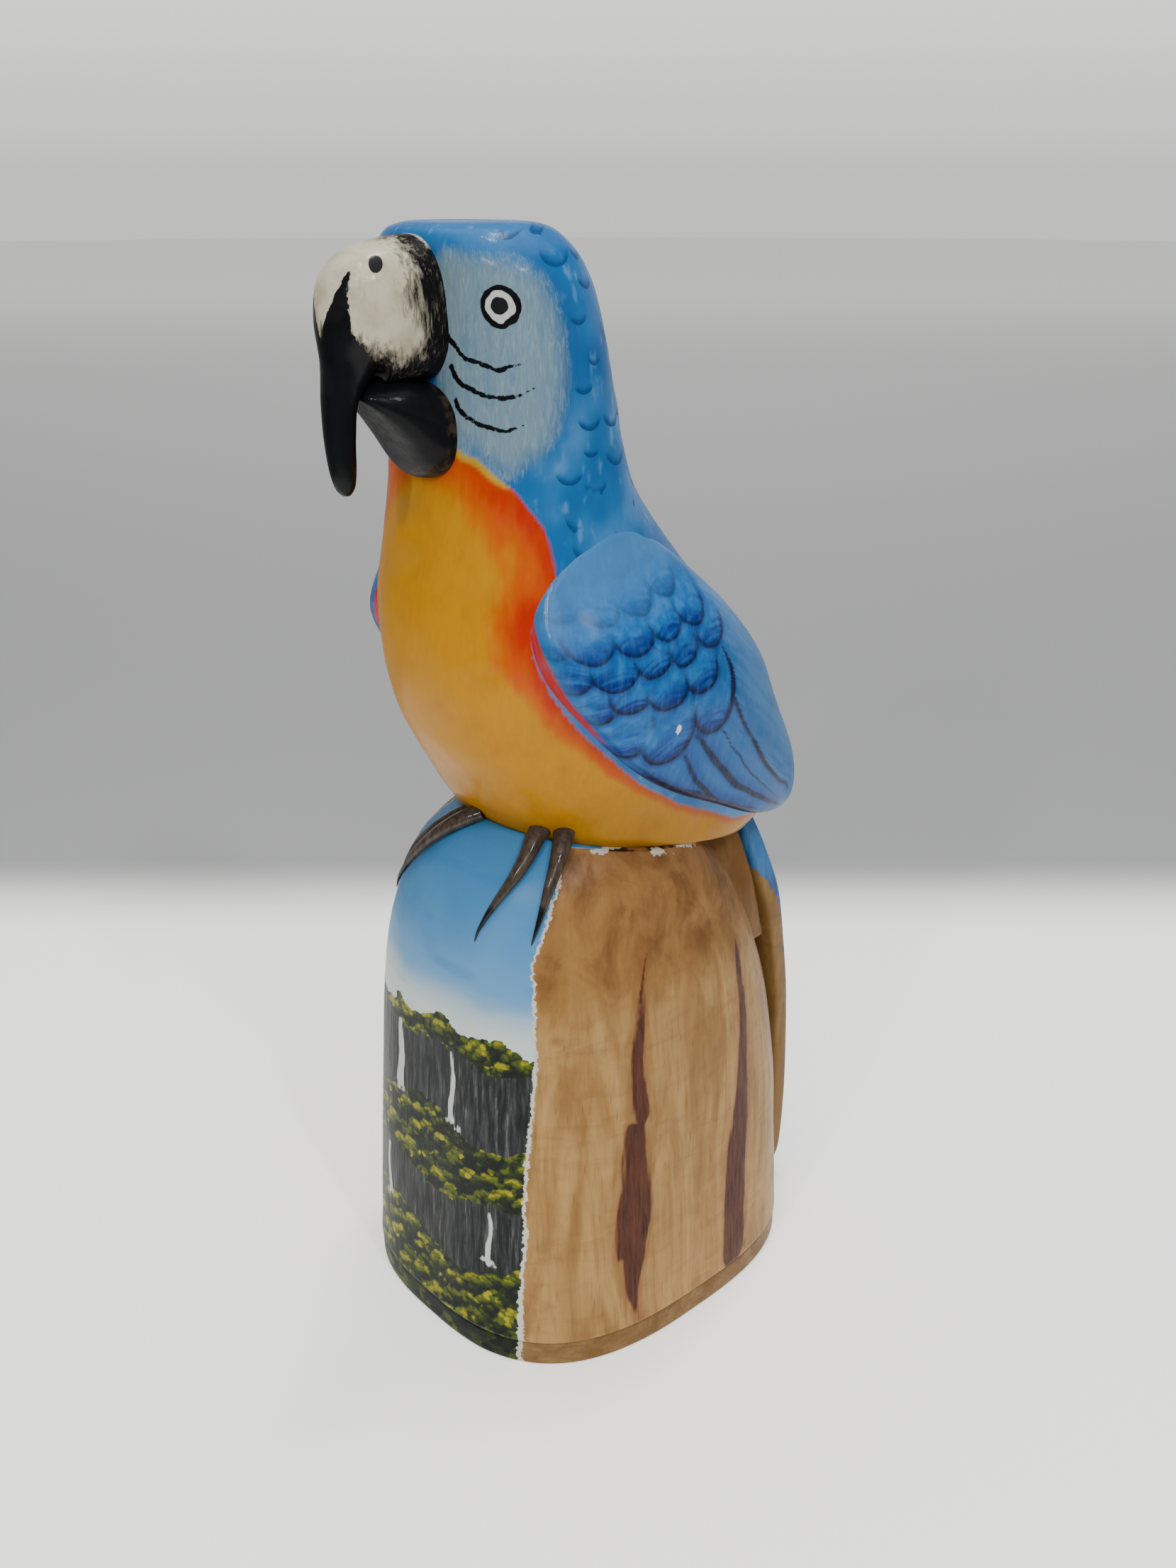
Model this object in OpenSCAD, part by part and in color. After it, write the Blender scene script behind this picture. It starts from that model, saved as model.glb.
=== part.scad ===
// Carved wooden macaw perched on a stump.
// The bird looks along -Y, its left side is +X, and the origin is the centre of the base's underside.

/* [Overall] */
// Height from the table to the crown of the head
total_height = 300; // [240:5:360]
// Width of the stump at its foot, across the bird
stump_width = 104; // [84:2:124]
// Depth of the stump at its foot, beak to tail
stump_depth = 120; // [100:2:140]

/* [Base] */
// Thickness of the board under the stump
board_thick = 8; // [6:0.5:12]
// Shank diameter of the screws through the board
screw_d = 4; // [3:0.5:5]
// Length of the screws
screw_length = 32; // [24:1:40]

/* [Joinery] */
// Diameter of the dowels between bird and stump
body_dowel_d = 10; // [8:0.5:12]
// Length of the dowels between bird and stump
body_dowel_length = 44; // [32:1:52]
// Diameter of the wing, beak and tail dowels
small_dowel_d = 6; // [4:0.5:7]
// Length of the wing, beak and tail dowels
small_dowel_length = 20; // [14:1:22]
// Distance from the middle plane to the glued face of each wing
wing_seat = 27; // [24:0.5:30]

/* [Carving] */
// Height of the chiselled notch along the top edge of the stump's flanks
notch_height = 3; // [1:0.5:5]
// Thickness of the toes at their roots
toe_thick = 6; // [5:0.5:8]

/* [Hidden] */

// The carving is drawn at this size and scaled to the driving dimensions
drawn_size = [104, 120, 300];
carve_scale = [stump_width / drawn_size[0], stump_depth / drawn_size[1], total_height / drawn_size[2]];

// Bird and stump meet on one sloping plane, seat_rise high in the middle
seat_rise = 144.7;
seat_slope = 0.2;
seat_tilt = -atan(seat_slope);
// Deepest and highest reach of the cutting blocks
reach = 200;

// The flat bottom of the pockets that hold both halves of the beak
beak_seat = -47;

// Carved sections, lowest first: [y, z, tilt, half depth, half width, squareness].
// The stump's rows add the shift of its hand-carved top towards the bird's left.
stump_sections = [
    [0, board_thick, 0, 59.9, 52, 2.8, 0],
    [0, 34, 0, 58.2, 51, 2.8, 0],
    [-0.3, 60, 0, 56.6, 50, 2.8, 0],
    [-1.9, 88, 0, 53.4, 49, 2.7, 0],
    [-3.8, 108, -1.5, 50.2, 46.3, 2.6, 0.2],
    [-4.4, 122, -5, 46.6, 42.8, 2.5, 0.7],
    [-4.2, 133, -8.5, 42, 39.8, 2.4, 1.2],
    [-3.6, 140.5, -10.5, 37.5, 36.2, 2.2, 2.1],
    [-3, seat_rise + 0.6, seat_tilt, 32.2, 33.2, 2.1, 2.6]
];
body_sections = [
    [9.5, seat_rise - 1.9, seat_tilt, 44.3, 35, 2.3],
    [16, 152, -6, 54.6, 37.5, 2.3],
    [12, 162, -2.5, 53.6, 40, 2.3],
    [1.4, 178, 0, 50.2, 42, 2.3],
    [-6.6, 195, 0, 46.4, 41.6, 2.3],
    [-14, 212, 0, 39.8, 39.4, 2.3],
    [-19.8, 228, 0, 31.2, 36, 2.3],
    [-24, 243, 0, 24.2, 34, 2.3],
    [-26.7, 262, 0, 22, 33.2, 2.3],
    [-29.3, 281, 0, 20, 31.8, 2.3],
    [-31.6, 291.5, 0, 18.8, 28.5, 2.3],
    [-33, 297.5, 0, 17.2, 23, 2.2],
    [-33.2, 299.5, 0, 13.8, 18.8, 2.1],
    [-33.2, 300, 0, 9.5, 14, 2.1]
];
wing_sections = [
    [19, 138, -6, 49, 33, 2.3],
    [18.5, 147, -6, 53, 39, 2.3],
    [14, 158, -3, 53.4, 43, 2.3],
    [3, 176, 0, 50.8, 47, 2.4],
    [-5.6, 194, 0, 47.4, 49, 2.5],
    [-13, 209, 0, 42.2, 46.4, 2.5],
    [-18.6, 222, 0, 35.6, 39.6, 2.4],
    [-21.8, 234, 0, 28.4, 35, 2.3],
    [-24, 244, 0, 23, 32.5, 2.3]
];
upper_beak_sections = [
    [beak_seat, 281.8, 90, 15.6, 11.2, 2.5],
    [-52, 281.8, 90, 15.6, 11.4, 2.5],
    [-60, 281.1, 90, 15.3, 11.6, 2.4],
    [-65.5, 279.5, 110, 13.6, 10.4, 2.3],
    [-67.4, 275.5, 136, 9.6, 8, 2.1],
    [-68.6, 270.5, 158, 6.2, 5.6, 2.1],
    [-70.8, 263, 176, 4.2, 3.9, 2.1],
    [-71.3, 255, 181, 3.6, 3.4, 2.1],
    [-71, 248, 186, 3.1, 2.9, 2.1],
    [-70.6, 244, 188, 2.2, 2.2, 2.1],
    [-70.4, 242.3, 188, 0.9, 1, 2.1]
];
lower_beak_sections = [
    [beak_seat, 255, 90, 11.1, 11.6, 2.4],
    [-50, 255, 90, 11.1, 11.6, 2.4],
    [-55.2, 256.8, 102, 11.5, 10.9, 2.3],
    [-60, 258.9, 116, 8.5, 8.8, 2.2],
    [-63.5, 260.8, 126, 5, 6, 2.1],
    [-65.9, 262.4, 132, 1.8, 2.8, 2.1]
];
// Room around the roots of the beak in their pockets
beak_clearance = 0.3;
// Outline of a wing seen from the side, as [y, z] around its edge
wing_outline = [
    [-31, 229], [-39, 221], [-42, 210], [-39.5, 199], [-32, 188], [-20, 175], [-6, 164.5],
    [12, 155.5], [30, 146.5], [46, 141.5], [57, 142.5], [60, 150], [53, 165], [40, 184],
    [22, 205], [2, 224], [-16, 233]
];
// Back and front edges of the tail blade seen from the side, top first
tail_back = [
    [51, 134.5], [54.4, 122], [58.6, 108], [62, 92], [66, 70], [68.2, 45], [68.6, 25], [67.2, 3.6]
];
tail_front = [
    [43.5, 136], [46.6, 120], [50.2, 106], [54.4, 92], [58.4, 70], [60.4, 45], [61.2, 25], [61.6, 4.8]
];
// Edge of the tail blade seen from behind, as [half width, z]
tail_outline = [[20, 138], [24.5, 127], [27.5, 112], [27, 90], [26, 60], [25.5, 30], [25, 11], [22.5, 3]];
// Underside of the stump's block behind the bird's rump
shoulder_bottom = 97;
// Middle line of each toe from its root under the belly to its nail, as [x, y, z]
left_inner_path = [
    [18.6, -30, 153.6], [20, -33.4, 151.9], [21.2, -36.8, 149], [21.3, -40.4, 145],
    [20.2, -43.4, 141], [18, -46.6, 135.4], [15.6, -49, 129.2], [14.8, -49.6, 126]
];
left_outer_path = [
    [23, -25.6, 153.6], [25, -28, 152.1], [26.8, -30.6, 149.9], [28.3, -33.4, 146.8],
    [29.3, -36.4, 142.6], [29.6, -39, 137], [29.5, -41.2, 131.6], [28.8, -42.2, 127.6]
];
right_inner_path = [
    [-0.4, -34.4, 153.6], [-2.8, -37.4, 152.1], [-5.6, -40.4, 150], [-9, -42.8, 147],
    [-13, -44.7, 142.8], [-18, -46, 136.9], [-23, -46.2, 130.4], [-26.2, -45.4, 125.4]
];
right_outer_path = [
    [-7, -32, 151.4], [-9.8, -34.8, 149.5], [-13, -37.4, 147], [-16.8, -39.8, 143.5],
    [-20.8, -41.6, 138.8], [-24.4, -42.6, 133], [-27.2, -42.6, 127.8], [-28.8, -42.2, 124]
];
// Thickness along a toe as a share of toe_thick: [height, width, squareness]
toe_profile = [
    [0.72, 1, 2.6], [0.72, 1, 2.6], [0.72, 0.95, 2.4], [0.7, 0.88, 2.3],
    [0.66, 0.8, 2.2], [0.56, 0.66, 2.1], [0.34, 0.4, 2.1], [0.06, 0.06, 2.1]
];

// Smooth curve through the rows of a table: steps more rows in each span
function between(a, b, c, d, t) =
    0.5 * (2 * b + (c - a) * t + (2 * a - 5 * b + 4 * c - d) * t * t + (3 * b - a - 3 * c + d) * t * t * t);
function smooth(rows, steps) = let (last = len(rows) - 1) [
    for (i = [0 : last - 1], k = [0 : steps - 1])
        between(rows[max(i - 1, 0)], rows[i], rows[i + 1], rows[min(i + 2, last)], k / steps),
    rows[last]
];
function smooth_loop(rows, steps) = let (n = len(rows)) [
    for (i = [0 : n - 1], k = [0 : steps - 1])
        between(rows[(i + n - 1) % n], rows[i], rows[(i + 1) % n], rows[(i + 2) % n], k / steps)
];

// A rounded rectangle, rounder as its squareness falls to 2
function signed_power(v, p) = sign(v) * pow(abs(v), p);
function superellipse(half_height, half_width, squareness, sides) = [
    for (i = [0 : sides - 1]) let (a = 360 * (i + 0.5) / sides)
        [
            half_width * signed_power(cos(a), 2 / squareness),
            half_height * signed_power(sin(a), 2 / squareness)
        ]
];

// One closed section of the carving, in a plane that holds the X axis
function ring(row, sides) = [
    for (p = superellipse(row[3], row[4], row[5], sides))
        [p[0] + (len(row) > 6 ? row[6] : 0), row[0] + p[1] * cos(row[2]), row[1] + p[1] * sin(row[2])]
];

function backwards(points) = [for (i = [len(points) - 1 : -1 : 0]) points[i]];

// Solid through a list of closed rings, lowest first
module loft(rings) {
    last = len(rings) - 1;
    sides = len(rings[0]);
    polyhedron(
        points = [for (r = rings) for (p = r) p],
        faces = concat(
            [[for (i = [0 : sides - 1]) i]],
            [for (r = [0 : last - 1], i = [0 : sides - 1]) let (j = (i + 1) % sides, o = r * sides)
                each [[o + i, o + sides + i, o + j], [o + j, o + sides + i, o + sides + j]]],
            [[for (i = [sides - 1 : -1 : 0]) last * sides + i]]
        )
    );
}

// Solid through a table of sections
module carve(rows, steps, sides) {
    loft([for (row = smooth(rows, steps)) ring(row, sides)]);
}

// Turns a drawing in y and z into a slab across the bird, from x = from to x = to
module across(from, to) {
    translate([from, 0, 0])
        rotate([90, 0, 90])
            linear_extrude(to - from)
                children();
}

// A dowel along Z with its middle at the origin
module dowel(d, length) {
    cylinder(d = d, h = length, center = true, $fn = 32);
}

module at_body_dowels() {
    for (y = [-12, 16])
        translate([0, y, seat_rise - y * seat_slope])
            children();
}

module at_wing_dowels() {
    for (side = [-1, 1], place = [[-8, 200], [28, 168]])
        translate([side * wing_seat, place[0], place[1]])
            rotate([0, 90, 0])
                children();
}

module at_beak_dowels() {
    for (z = [282, 256])
        translate([0, -47, z])
            rotate([90, 0, 0])
                children();
}

module at_tail_dowels() {
    for (x = [-12, 12])
        translate([x, 44, 113])
            rotate([90, 0, 0])
                children();
}

module at_screws() {
    for (x = [-26, 26], y = [-32, 32])
        translate([x, y, 0])
            children();
}

// Countersunk wood screw with its head sunk a little under the board
module screw() {
    sunk = 0.5;
    point = screw_d;
    translate([0, 0, sunk]) {
        cylinder(d1 = 2 * screw_d, d2 = screw_d, h = screw_d / 2, $fn = 32);
        cylinder(d = screw_d, h = screw_length - point, $fn = 32);
        translate([0, 0, screw_length - point])
            cylinder(d1 = screw_d, d2 = screw_d / 4, h = point, $fn = 32);
    }
}

module base_board() {
    color("peru")
        scale(carve_scale)
            difference() {
                linear_extrude(board_thick)
                    polygon([for (p = ring(stump_sections[0], 96)) [p[0], p[1]]]);
                at_screws()
                    screw();
            }
}

module base_screws() {
    color("darkgray")
        scale(carve_scale)
            at_screws()
                screw();
}

module stump() {
    color("burlywood")
        scale(carve_scale)
            difference() {
                union() {
                    carve(stump_sections, 3, 48);
                    shoulder();
                }
                stump_notches();
                toe_channels();
                at_body_dowels()
                    dowel(body_dowel_d, body_dowel_length);
                at_tail_dowels()
                    dowel(small_dowel_d, small_dowel_length);
                at_screws()
                    screw();
            }
}

// Block behind the stump that carries the bird's rump and the tail
module shoulder() {
    front = 20;
    edge = [for (p = smooth(tail_front, 3)) if (p[1] >= shoulder_bottom) p];
    intersection() {
        across(-reach, reach)
            polygon(concat(
                [[front, seat_rise - front * seat_slope], [front, shoulder_bottom]],
                backwards(edge)
            ));
        tail_width();
    }
}

// Everything within the tail's edges seen from behind
module tail_width() {
    edge = smooth(tail_outline, 3);
    rotate([90, 0, 0])
        linear_extrude(2 * reach, center = true)
            polygon(concat(edge, backwards([for (p = edge) [-p[0], p[1]]])));
}

module stump_notches() {
    for (side = [-1, 1])
        translate([side * 39, 9, seat_rise - 1.8])
            rotate([seat_tilt, 0, 0])
                cube([16, 30, 2 * notch_height], center = true);
}

module body() {
    color("gold")
        scale(carve_scale)
            difference() {
                carve(body_sections, 3, 48);
                for (side = [0, 1])
                    mirror([side, 0, 0])
                        across(wing_seat, reach)
                            polygon(smooth_loop(wing_outline, 2));
                beak_pocket(upper_beak_sections[0]);
                beak_pocket(lower_beak_sections[0]);
                toe_channels();
                at_body_dowels()
                    dowel(body_dowel_d, body_dowel_length);
                at_wing_dowels()
                    dowel(small_dowel_d, small_dowel_length);
                at_beak_dowels()
                    dowel(small_dowel_d, small_dowel_length);
            }
}

// Pocket in the front of the head for the root of one half of the beak
module beak_pocket(root) {
    roomy = [0, root[1], 90, root[3] + beak_clearance, root[4] + beak_clearance, root[5]];
    translate([0, beak_seat, 0])
        rotate([90, 0, 0])
            linear_extrude(reach)
                polygon([for (p = ring(roomy, 48)) [p[0], p[2]]]);
}

module wing() {
    scale(carve_scale)
        difference() {
            intersection() {
                carve(wing_sections, 2, 48);
                across(wing_seat, reach)
                    polygon(smooth_loop(wing_outline, 2));
            }
            at_wing_dowels()
                dowel(small_dowel_d, small_dowel_length);
        }
}

module left_wing() {
    color("royalblue")
        wing();
}

module right_wing() {
    color("royalblue")
        mirror([1, 0, 0])
            wing();
}

module upper_beak() {
    color("ivory")
        scale(carve_scale)
            carve(upper_beak_sections, 3, 24);
}

module lower_beak() {
    color("black")
        scale(carve_scale)
            difference() {
                carve(lower_beak_sections, 3, 24);
                carve(upper_beak_sections, 3, 24);
            }
}

module tail() {
    color("steelblue")
        scale(carve_scale)
            difference() {
                intersection() {
                    across(-reach, reach)
                        polygon(concat(smooth(tail_back, 3), backwards(smooth(tail_front, 3))));
                    tail_width();
                }
                at_tail_dowels()
                    dowel(small_dowel_d, small_dowel_length);
            }
}

// A stick swept along a path, with its flat sides level across the bird
module toe(path) {
    middle = smooth(path, 3);
    sizes = smooth(toe_profile, 3);
    half = toe_thick / 2;
    loft([for (i = [0 : len(middle) - 1]) let (
        ahead = middle[min(i + 1, len(middle) - 1)] - middle[max(i - 1, 0)],
        side = cross([0, 0, 1], ahead) / norm(cross([0, 0, 1], ahead)),
        up = cross(ahead, side) / norm(ahead),
        flat = superellipse(half * sizes[i][0], half * sizes[i][1], sizes[i][2], 16)
    ) [for (p = flat) middle[i] + side * p[0] + up * p[1]]]);
}

// The channels that the toes are let into, in the belly and in the top of the stump
module toe_channels() {
    toe(left_inner_path);
    toe(left_outer_path);
    toe(right_inner_path);
    toe(right_outer_path);
}

module left_inner_toe() {
    color("saddlebrown")
        scale(carve_scale)
            toe(left_inner_path);
}

module left_outer_toe() {
    color("saddlebrown")
        scale(carve_scale)
            toe(left_outer_path);
}

module right_inner_toe() {
    color("saddlebrown")
        scale(carve_scale)
            toe(right_inner_path);
}

module right_outer_toe() {
    color("saddlebrown")
        scale(carve_scale)
            toe(right_outer_path);
}

module body_dowels() {
    color("tan")
        scale(carve_scale)
            at_body_dowels()
                dowel(body_dowel_d, body_dowel_length);
}

module beak_dowels() {
    color("tan")
        scale(carve_scale)
            at_beak_dowels()
                dowel(small_dowel_d, small_dowel_length);
}

module wing_dowels() {
    color("tan")
        scale(carve_scale)
            at_wing_dowels()
                dowel(small_dowel_d, small_dowel_length);
}

module tail_dowels() {
    color("tan")
        scale(carve_scale)
            at_tail_dowels()
                dowel(small_dowel_d, small_dowel_length);
}

base_board();
base_screws();
stump();
body();
upper_beak();
lower_beak();
left_wing();
right_wing();
tail();
left_inner_toe();
left_outer_toe();
right_inner_toe();
right_outer_toe();
body_dowels();
beak_dowels();
wing_dowels();
tail_dowels();
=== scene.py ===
"""The looks of a carved and painted wooden macaw on a log stump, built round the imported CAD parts.

Shapes are worked out in millimetres in the frame of the parts: the bird looks along -Y, its left
side is +X, and the origin is the centre of the base's underside.
"""

import math

import bpy
import numpy as np
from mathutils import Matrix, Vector
from mathutils.bvhtree import BVHTree


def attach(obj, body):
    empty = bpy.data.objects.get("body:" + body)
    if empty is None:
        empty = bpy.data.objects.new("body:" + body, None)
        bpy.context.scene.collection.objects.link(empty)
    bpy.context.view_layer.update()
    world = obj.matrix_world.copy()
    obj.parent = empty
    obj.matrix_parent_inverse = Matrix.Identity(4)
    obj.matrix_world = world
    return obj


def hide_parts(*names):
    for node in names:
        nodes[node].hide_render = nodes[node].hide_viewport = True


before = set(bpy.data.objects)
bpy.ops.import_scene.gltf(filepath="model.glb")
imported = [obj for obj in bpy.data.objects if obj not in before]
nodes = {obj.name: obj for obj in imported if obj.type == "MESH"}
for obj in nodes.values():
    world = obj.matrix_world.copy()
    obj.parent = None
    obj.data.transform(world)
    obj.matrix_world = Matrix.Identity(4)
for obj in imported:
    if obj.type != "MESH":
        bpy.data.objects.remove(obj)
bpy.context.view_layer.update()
MM = 0.001

# ---- camera, floor and lights

CAMERA_TURN = math.radians(48)

scene = bpy.context.scene
camera = bpy.data.objects.new("camera", bpy.data.cameras.new("camera"))
scene.collection.objects.link(camera)
camera.location = (0.2817, -0.2504, 0.308)
camera.rotation_euler = (math.radians(67.5), 0, CAMERA_TURN)
camera.data.lens = 33.36
camera.data.sensor_width = 36
camera.data.clip_start = 0.01
scene.camera = camera


def softbox(name, place, target, size, watts):
    light = bpy.data.lights.new(name, "AREA")
    light.shape = "RECTANGLE"
    light.size, light.size_y = size
    light.energy = watts
    obj = bpy.data.objects.new(name, light)
    scene.collection.objects.link(obj)
    obj.location = place
    obj.rotation_euler = (Vector(target) - obj.location).to_track_quat("-Z", "Y").to_euler()


softbox("overhead", (0.1, 0.1, 2.2), (0, 0, 0), (2.6, 2.6), 35)
softbox("key_light", (0.95, -0.85, 1.0), (0, 0, 0.17), (0.6, 0.6), 6)
softbox("crown_panel", (-0.05, 0.15, 1.7), (0, -0.03, 0.29), (0.08, 0.24), 8)
softbox("dome_panel", (0.15, -0.3, 1.9), (0, 0, 0.14), (0.08, 0.18), 5.5)
softbox("shoulder_panel", (1.1, -0.25, 1.3), (0.03, -0.03, 0.23), (0.06, 0.24), 7.5)
softbox("breast_panel", (0.45, -1.15, 0.8), (0, -0.05, 0.22), (0.06, 0.22), 5)


# ---- node helpers

def rgb(red, green, blue):
    """Linear colour from 0 to 255 display values."""
    def linear(value):
        value /= 255
        return value / 12.92 if value <= 0.04045 else ((value + 0.055) / 1.055) ** 2.4
    return (linear(red), linear(green), linear(blue), 1.0)


def add_node(tree, kind, inputs, **settings):
    """A new shader node with its settings and its inputs, which take values or other outputs."""
    node = tree.nodes.new("ShaderNode" + kind)
    for key, value in settings.items():
        setattr(node, key, value)
    for key, value in inputs.items():
        put(tree, node.inputs[key], value)
    return node.outputs


def put(tree, socket, value):
    if isinstance(value, bpy.types.NodeSocket):
        tree.links.new(value, socket)
    elif socket.type == "RGBA" and len(value) == 3:
        socket.default_value = (*value, 1)
    else:
        socket.default_value = value


def map_range(tree, value, low, high, out_low=0.0, out_high=1.0, smooth=True):
    inputs = {"Value": value, "From Min": low, "From Max": high, "To Min": out_low, "To Max": out_high}
    kind = "SMOOTHSTEP" if smooth else "LINEAR"
    return add_node(tree, "MapRange", inputs, interpolation_type=kind)["Result"]


class Nodes:
    """A material's node tree, with short calls for the nodes used here."""

    def __init__(self, name):
        self.material = bpy.data.materials.new(name)
        self.material.use_nodes = True
        self.tree = self.material.node_tree
        self.shader = self.tree.nodes["Principled BSDF"]
        self.coords = self.add("TexCoord", {})["Object"]

    def add(self, kind, inputs, **settings):
        return add_node(self.tree, kind, inputs, **settings)

    def plus(self, a, b):
        return self.add("Math", {0: a, 1: b}, operation="ADD")[0]

    def times(self, a, b):
        return self.add("Math", {0: a, 1: b}, operation="MULTIPLY")[0]

    def ramp(self, value, *limits, **more):
        return map_range(self.tree, value, *limits, **more)

    def mix(self, share, a, b, blend="MIX"):
        inputs = {"Factor": share, 6: a, 7: b}
        return self.add("Mix", inputs, data_type="RGBA", blend_type=blend, clamp_factor=True)[2]

    def over(self, below, tint, *ramp):
        """The tint laid over the colour below where the ramp says so."""
        return self.mix(self.ramp(*ramp), below, tint)

    def layers(self, colour, *layers):
        for tint, *ramp in layers:
            colour = self.over(colour, tint, *ramp)
        return colour

    def attribute(self, name, colour=False):
        return self.add("Attribute", {}, attribute_name=name)["Color" if colour else "Fac"]

    def ragged(self, value, rag, most):
        """The value, shaken by up to most either way."""
        return self.plus(value, self.ramp(rag, 0.3, 0.7, -most, most))

    def stretched(self, scale, turn=(0, 0, 0)):
        scale = scale if isinstance(scale, tuple) else (scale,) * 3
        return self.add("Mapping", {"Vector": self.coords, "Scale": scale, "Rotation": turn})["Vector"]

    def noise(self, scale, detail, rough=0.55, turn=(0, 0, 0), warp=0.0):
        inputs = {"Vector": self.stretched(scale, turn), "Scale": 1, "Detail": detail,
                  "Roughness": rough, "Distortion": warp}
        return self.add("TexNoise", inputs)["Fac"]

    def cells(self, scale, output="Distance"):
        return self.add("TexVoronoi", {"Vector": self.stretched(scale), "Scale": 1})[output]

    def bump(self, height, strength, distance, below=None):
        inputs = {"Height": height, "Strength": strength, "Distance": distance}
        if below is not None:
            inputs["Normal"] = below
        return self.add("Bump", inputs)["Normal"]

    def finish(self, colour, rough, normal=None, coat=0.0, coat_rough=0.1, coat_normal=None, metal=0.0):
        values = {"Base Color": colour, "Roughness": rough, "Metallic": metal, "Normal": normal,
                  "Specular IOR Level": 0.5 if coat == 0 else 0.05, "Coat Weight": coat,
                  "Coat Roughness": coat_rough, "Coat Normal": coat_normal}
        for key, value in values.items():
            if value is not None:
                put(self.tree, self.shader.inputs[key], value)


# ---- floor and surroundings

BACKDROP = (-math.sin(CAMERA_TURN), math.cos(CAMERA_TURN), 0)


def make_floor():
    n = Nodes("studio_floor")
    away = n.add("VectorMath", {0: n.coords, 1: BACKDROP}, operation="DOT_PRODUCT")["Value"]
    middle = n.add("VectorMath", {0: n.coords}, operation="LENGTH")["Value"]
    # painted light: the floor is paler in a pool round the object, darker in a band behind it and paler
    # again further back, and it glows by emission
    light_pool = n.ramp(middle, 0.36, 0.62, 1.0, 0.0)
    near = n.mix(light_pool, rgb(112, 113, 113), rgb(248, 247, 243))
    colour = n.over(near, rgb(160, 162, 161), away, 0.19, 0.27)
    colour = n.over(colour, rgb(214, 216, 215), away, 0.3, 2.0)
    glow = n.times(n.ramp(away, 0.19, 0.27, 0.62, 0.0), light_pool)
    glow = n.plus(glow, n.ramp(away, 0.4, 4.5, 0.0, 0.52))
    put(n.tree, n.shader.inputs["Emission Color"], (1.0, 0.995, 0.98))
    put(n.tree, n.shader.inputs["Emission Strength"], glow)
    speck = n.noise(260, detail=4)
    colour = n.over(colour, rgb(190, 188, 182), speck, 0.66, 0.8, 0.0, 0.12)
    n.finish(colour, 0.5)
    mesh = bpy.data.meshes.new("floor")
    around = 96
    rings = [0.15, 0.4, 1.0, 3.0, 9.0]
    points = [(0, 0, 0)]
    faces = []
    for radius in rings:
        for i in range(around):
            turn = 2 * math.pi * i / around
            points.append((radius * math.cos(turn), radius * math.sin(turn), 0))
    for i in range(around):
        j = (i + 1) % around
        faces.append((0, 1 + i, 1 + j))
        for k in range(len(rings) - 1):
            low, high = 1 + k * around, 1 + (k + 1) * around
            faces.append((low + i, high + i, high + j, low + j))
    mesh.from_pydata(points, [], faces)
    mesh.materials.append(n.material)
    floor = bpy.data.objects.new("floor", mesh)
    scene.collection.objects.link(floor)


def make_backdrop():
    """A pale gradient, brighter towards the wall behind the object than in the rest of the room."""
    world = bpy.data.worlds.new("studio")
    world.use_nodes = True
    scene.world = world
    tree = world.node_tree
    way = add_node(tree, "TexCoord", {})["Generated"]
    height = add_node(tree, "SeparateXYZ", {0: way})["Z"]
    band = tree.nodes.new("ShaderNodeValToRGB")
    band.color_ramp.interpolation = "EASE"
    stops = ((0.0, 0.8), (0.04, 0.98), (0.10, 1.22), (0.2, 0.7), (0.4, 0.2))
    for k, (place, level) in enumerate(stops):
        stop = band.color_ramp.elements[k] if k < 2 else band.color_ramp.elements.new(place)
        stop.position = place
        stop.color = (level, level, level * 0.985, 1)
    tree.links.new(height, band.inputs["Fac"])
    facing = add_node(tree, "VectorMath", {0: way, 1: BACKDROP}, operation="DOT_PRODUCT")["Value"]
    back = tree.nodes["Background"]
    put(tree, back.inputs["Color"], band.outputs["Color"])
    put(tree, back.inputs["Strength"], map_range(tree, facing, 0.2, 0.7, 0.5, 1.0, smooth=False))


# ---- carving in numbers

CURVE_STEPS = 30
RING_SAMPLES = 1441


def smooth(rows, steps, loop=False):
    """A smooth curve through the rows of a table, as the CAD parts draw it."""
    rows = np.asarray(rows, float)
    last = len(rows) - 1
    out = []
    for i in range(last + 1 if loop else last):
        if loop:
            a, b, c, d = (rows[(i + k) % (last + 1)] for k in (-1, 0, 1, 2))
        else:
            a, b, c, d = rows[max(i - 1, 0)], rows[i], rows[i + 1], rows[min(i + 2, last)]
        for k in range(steps):
            t = k / steps
            out.append(0.5 * (2 * b + (c - a) * t + (2 * a - 5 * b + 4 * c - d) * t * t
                              + (3 * b - a - 3 * c + d) * t ** 3))
    if not loop:
        out.append(rows[-1])
    return np.array(out)


def walk(points):
    """How far along its line each point lies."""
    return np.r_[0, np.cumsum(np.linalg.norm(np.diff(points, axis=0), axis=1))]


def read_off(at, known, rows):
    """The rows, each at its own place in known, read off at other places."""
    return np.stack([np.interp(at, known, column) for column in rows.T], 1)


def evenly(points, gap, weigh=slice(None)):
    """The same curve with its points gap apart, measured over the columns in weigh."""
    walked = walk(points[:, weigh])
    at = np.linspace(0, walked[-1], max(int(walked[-1] / gap) + 1, 2))
    return read_off(at, walked, points)


def turns(count, start=0.0):
    """Angles of points evenly round a circle."""
    return np.linspace(start, start + 2 * math.pi, count + 1)[:-1]


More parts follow.
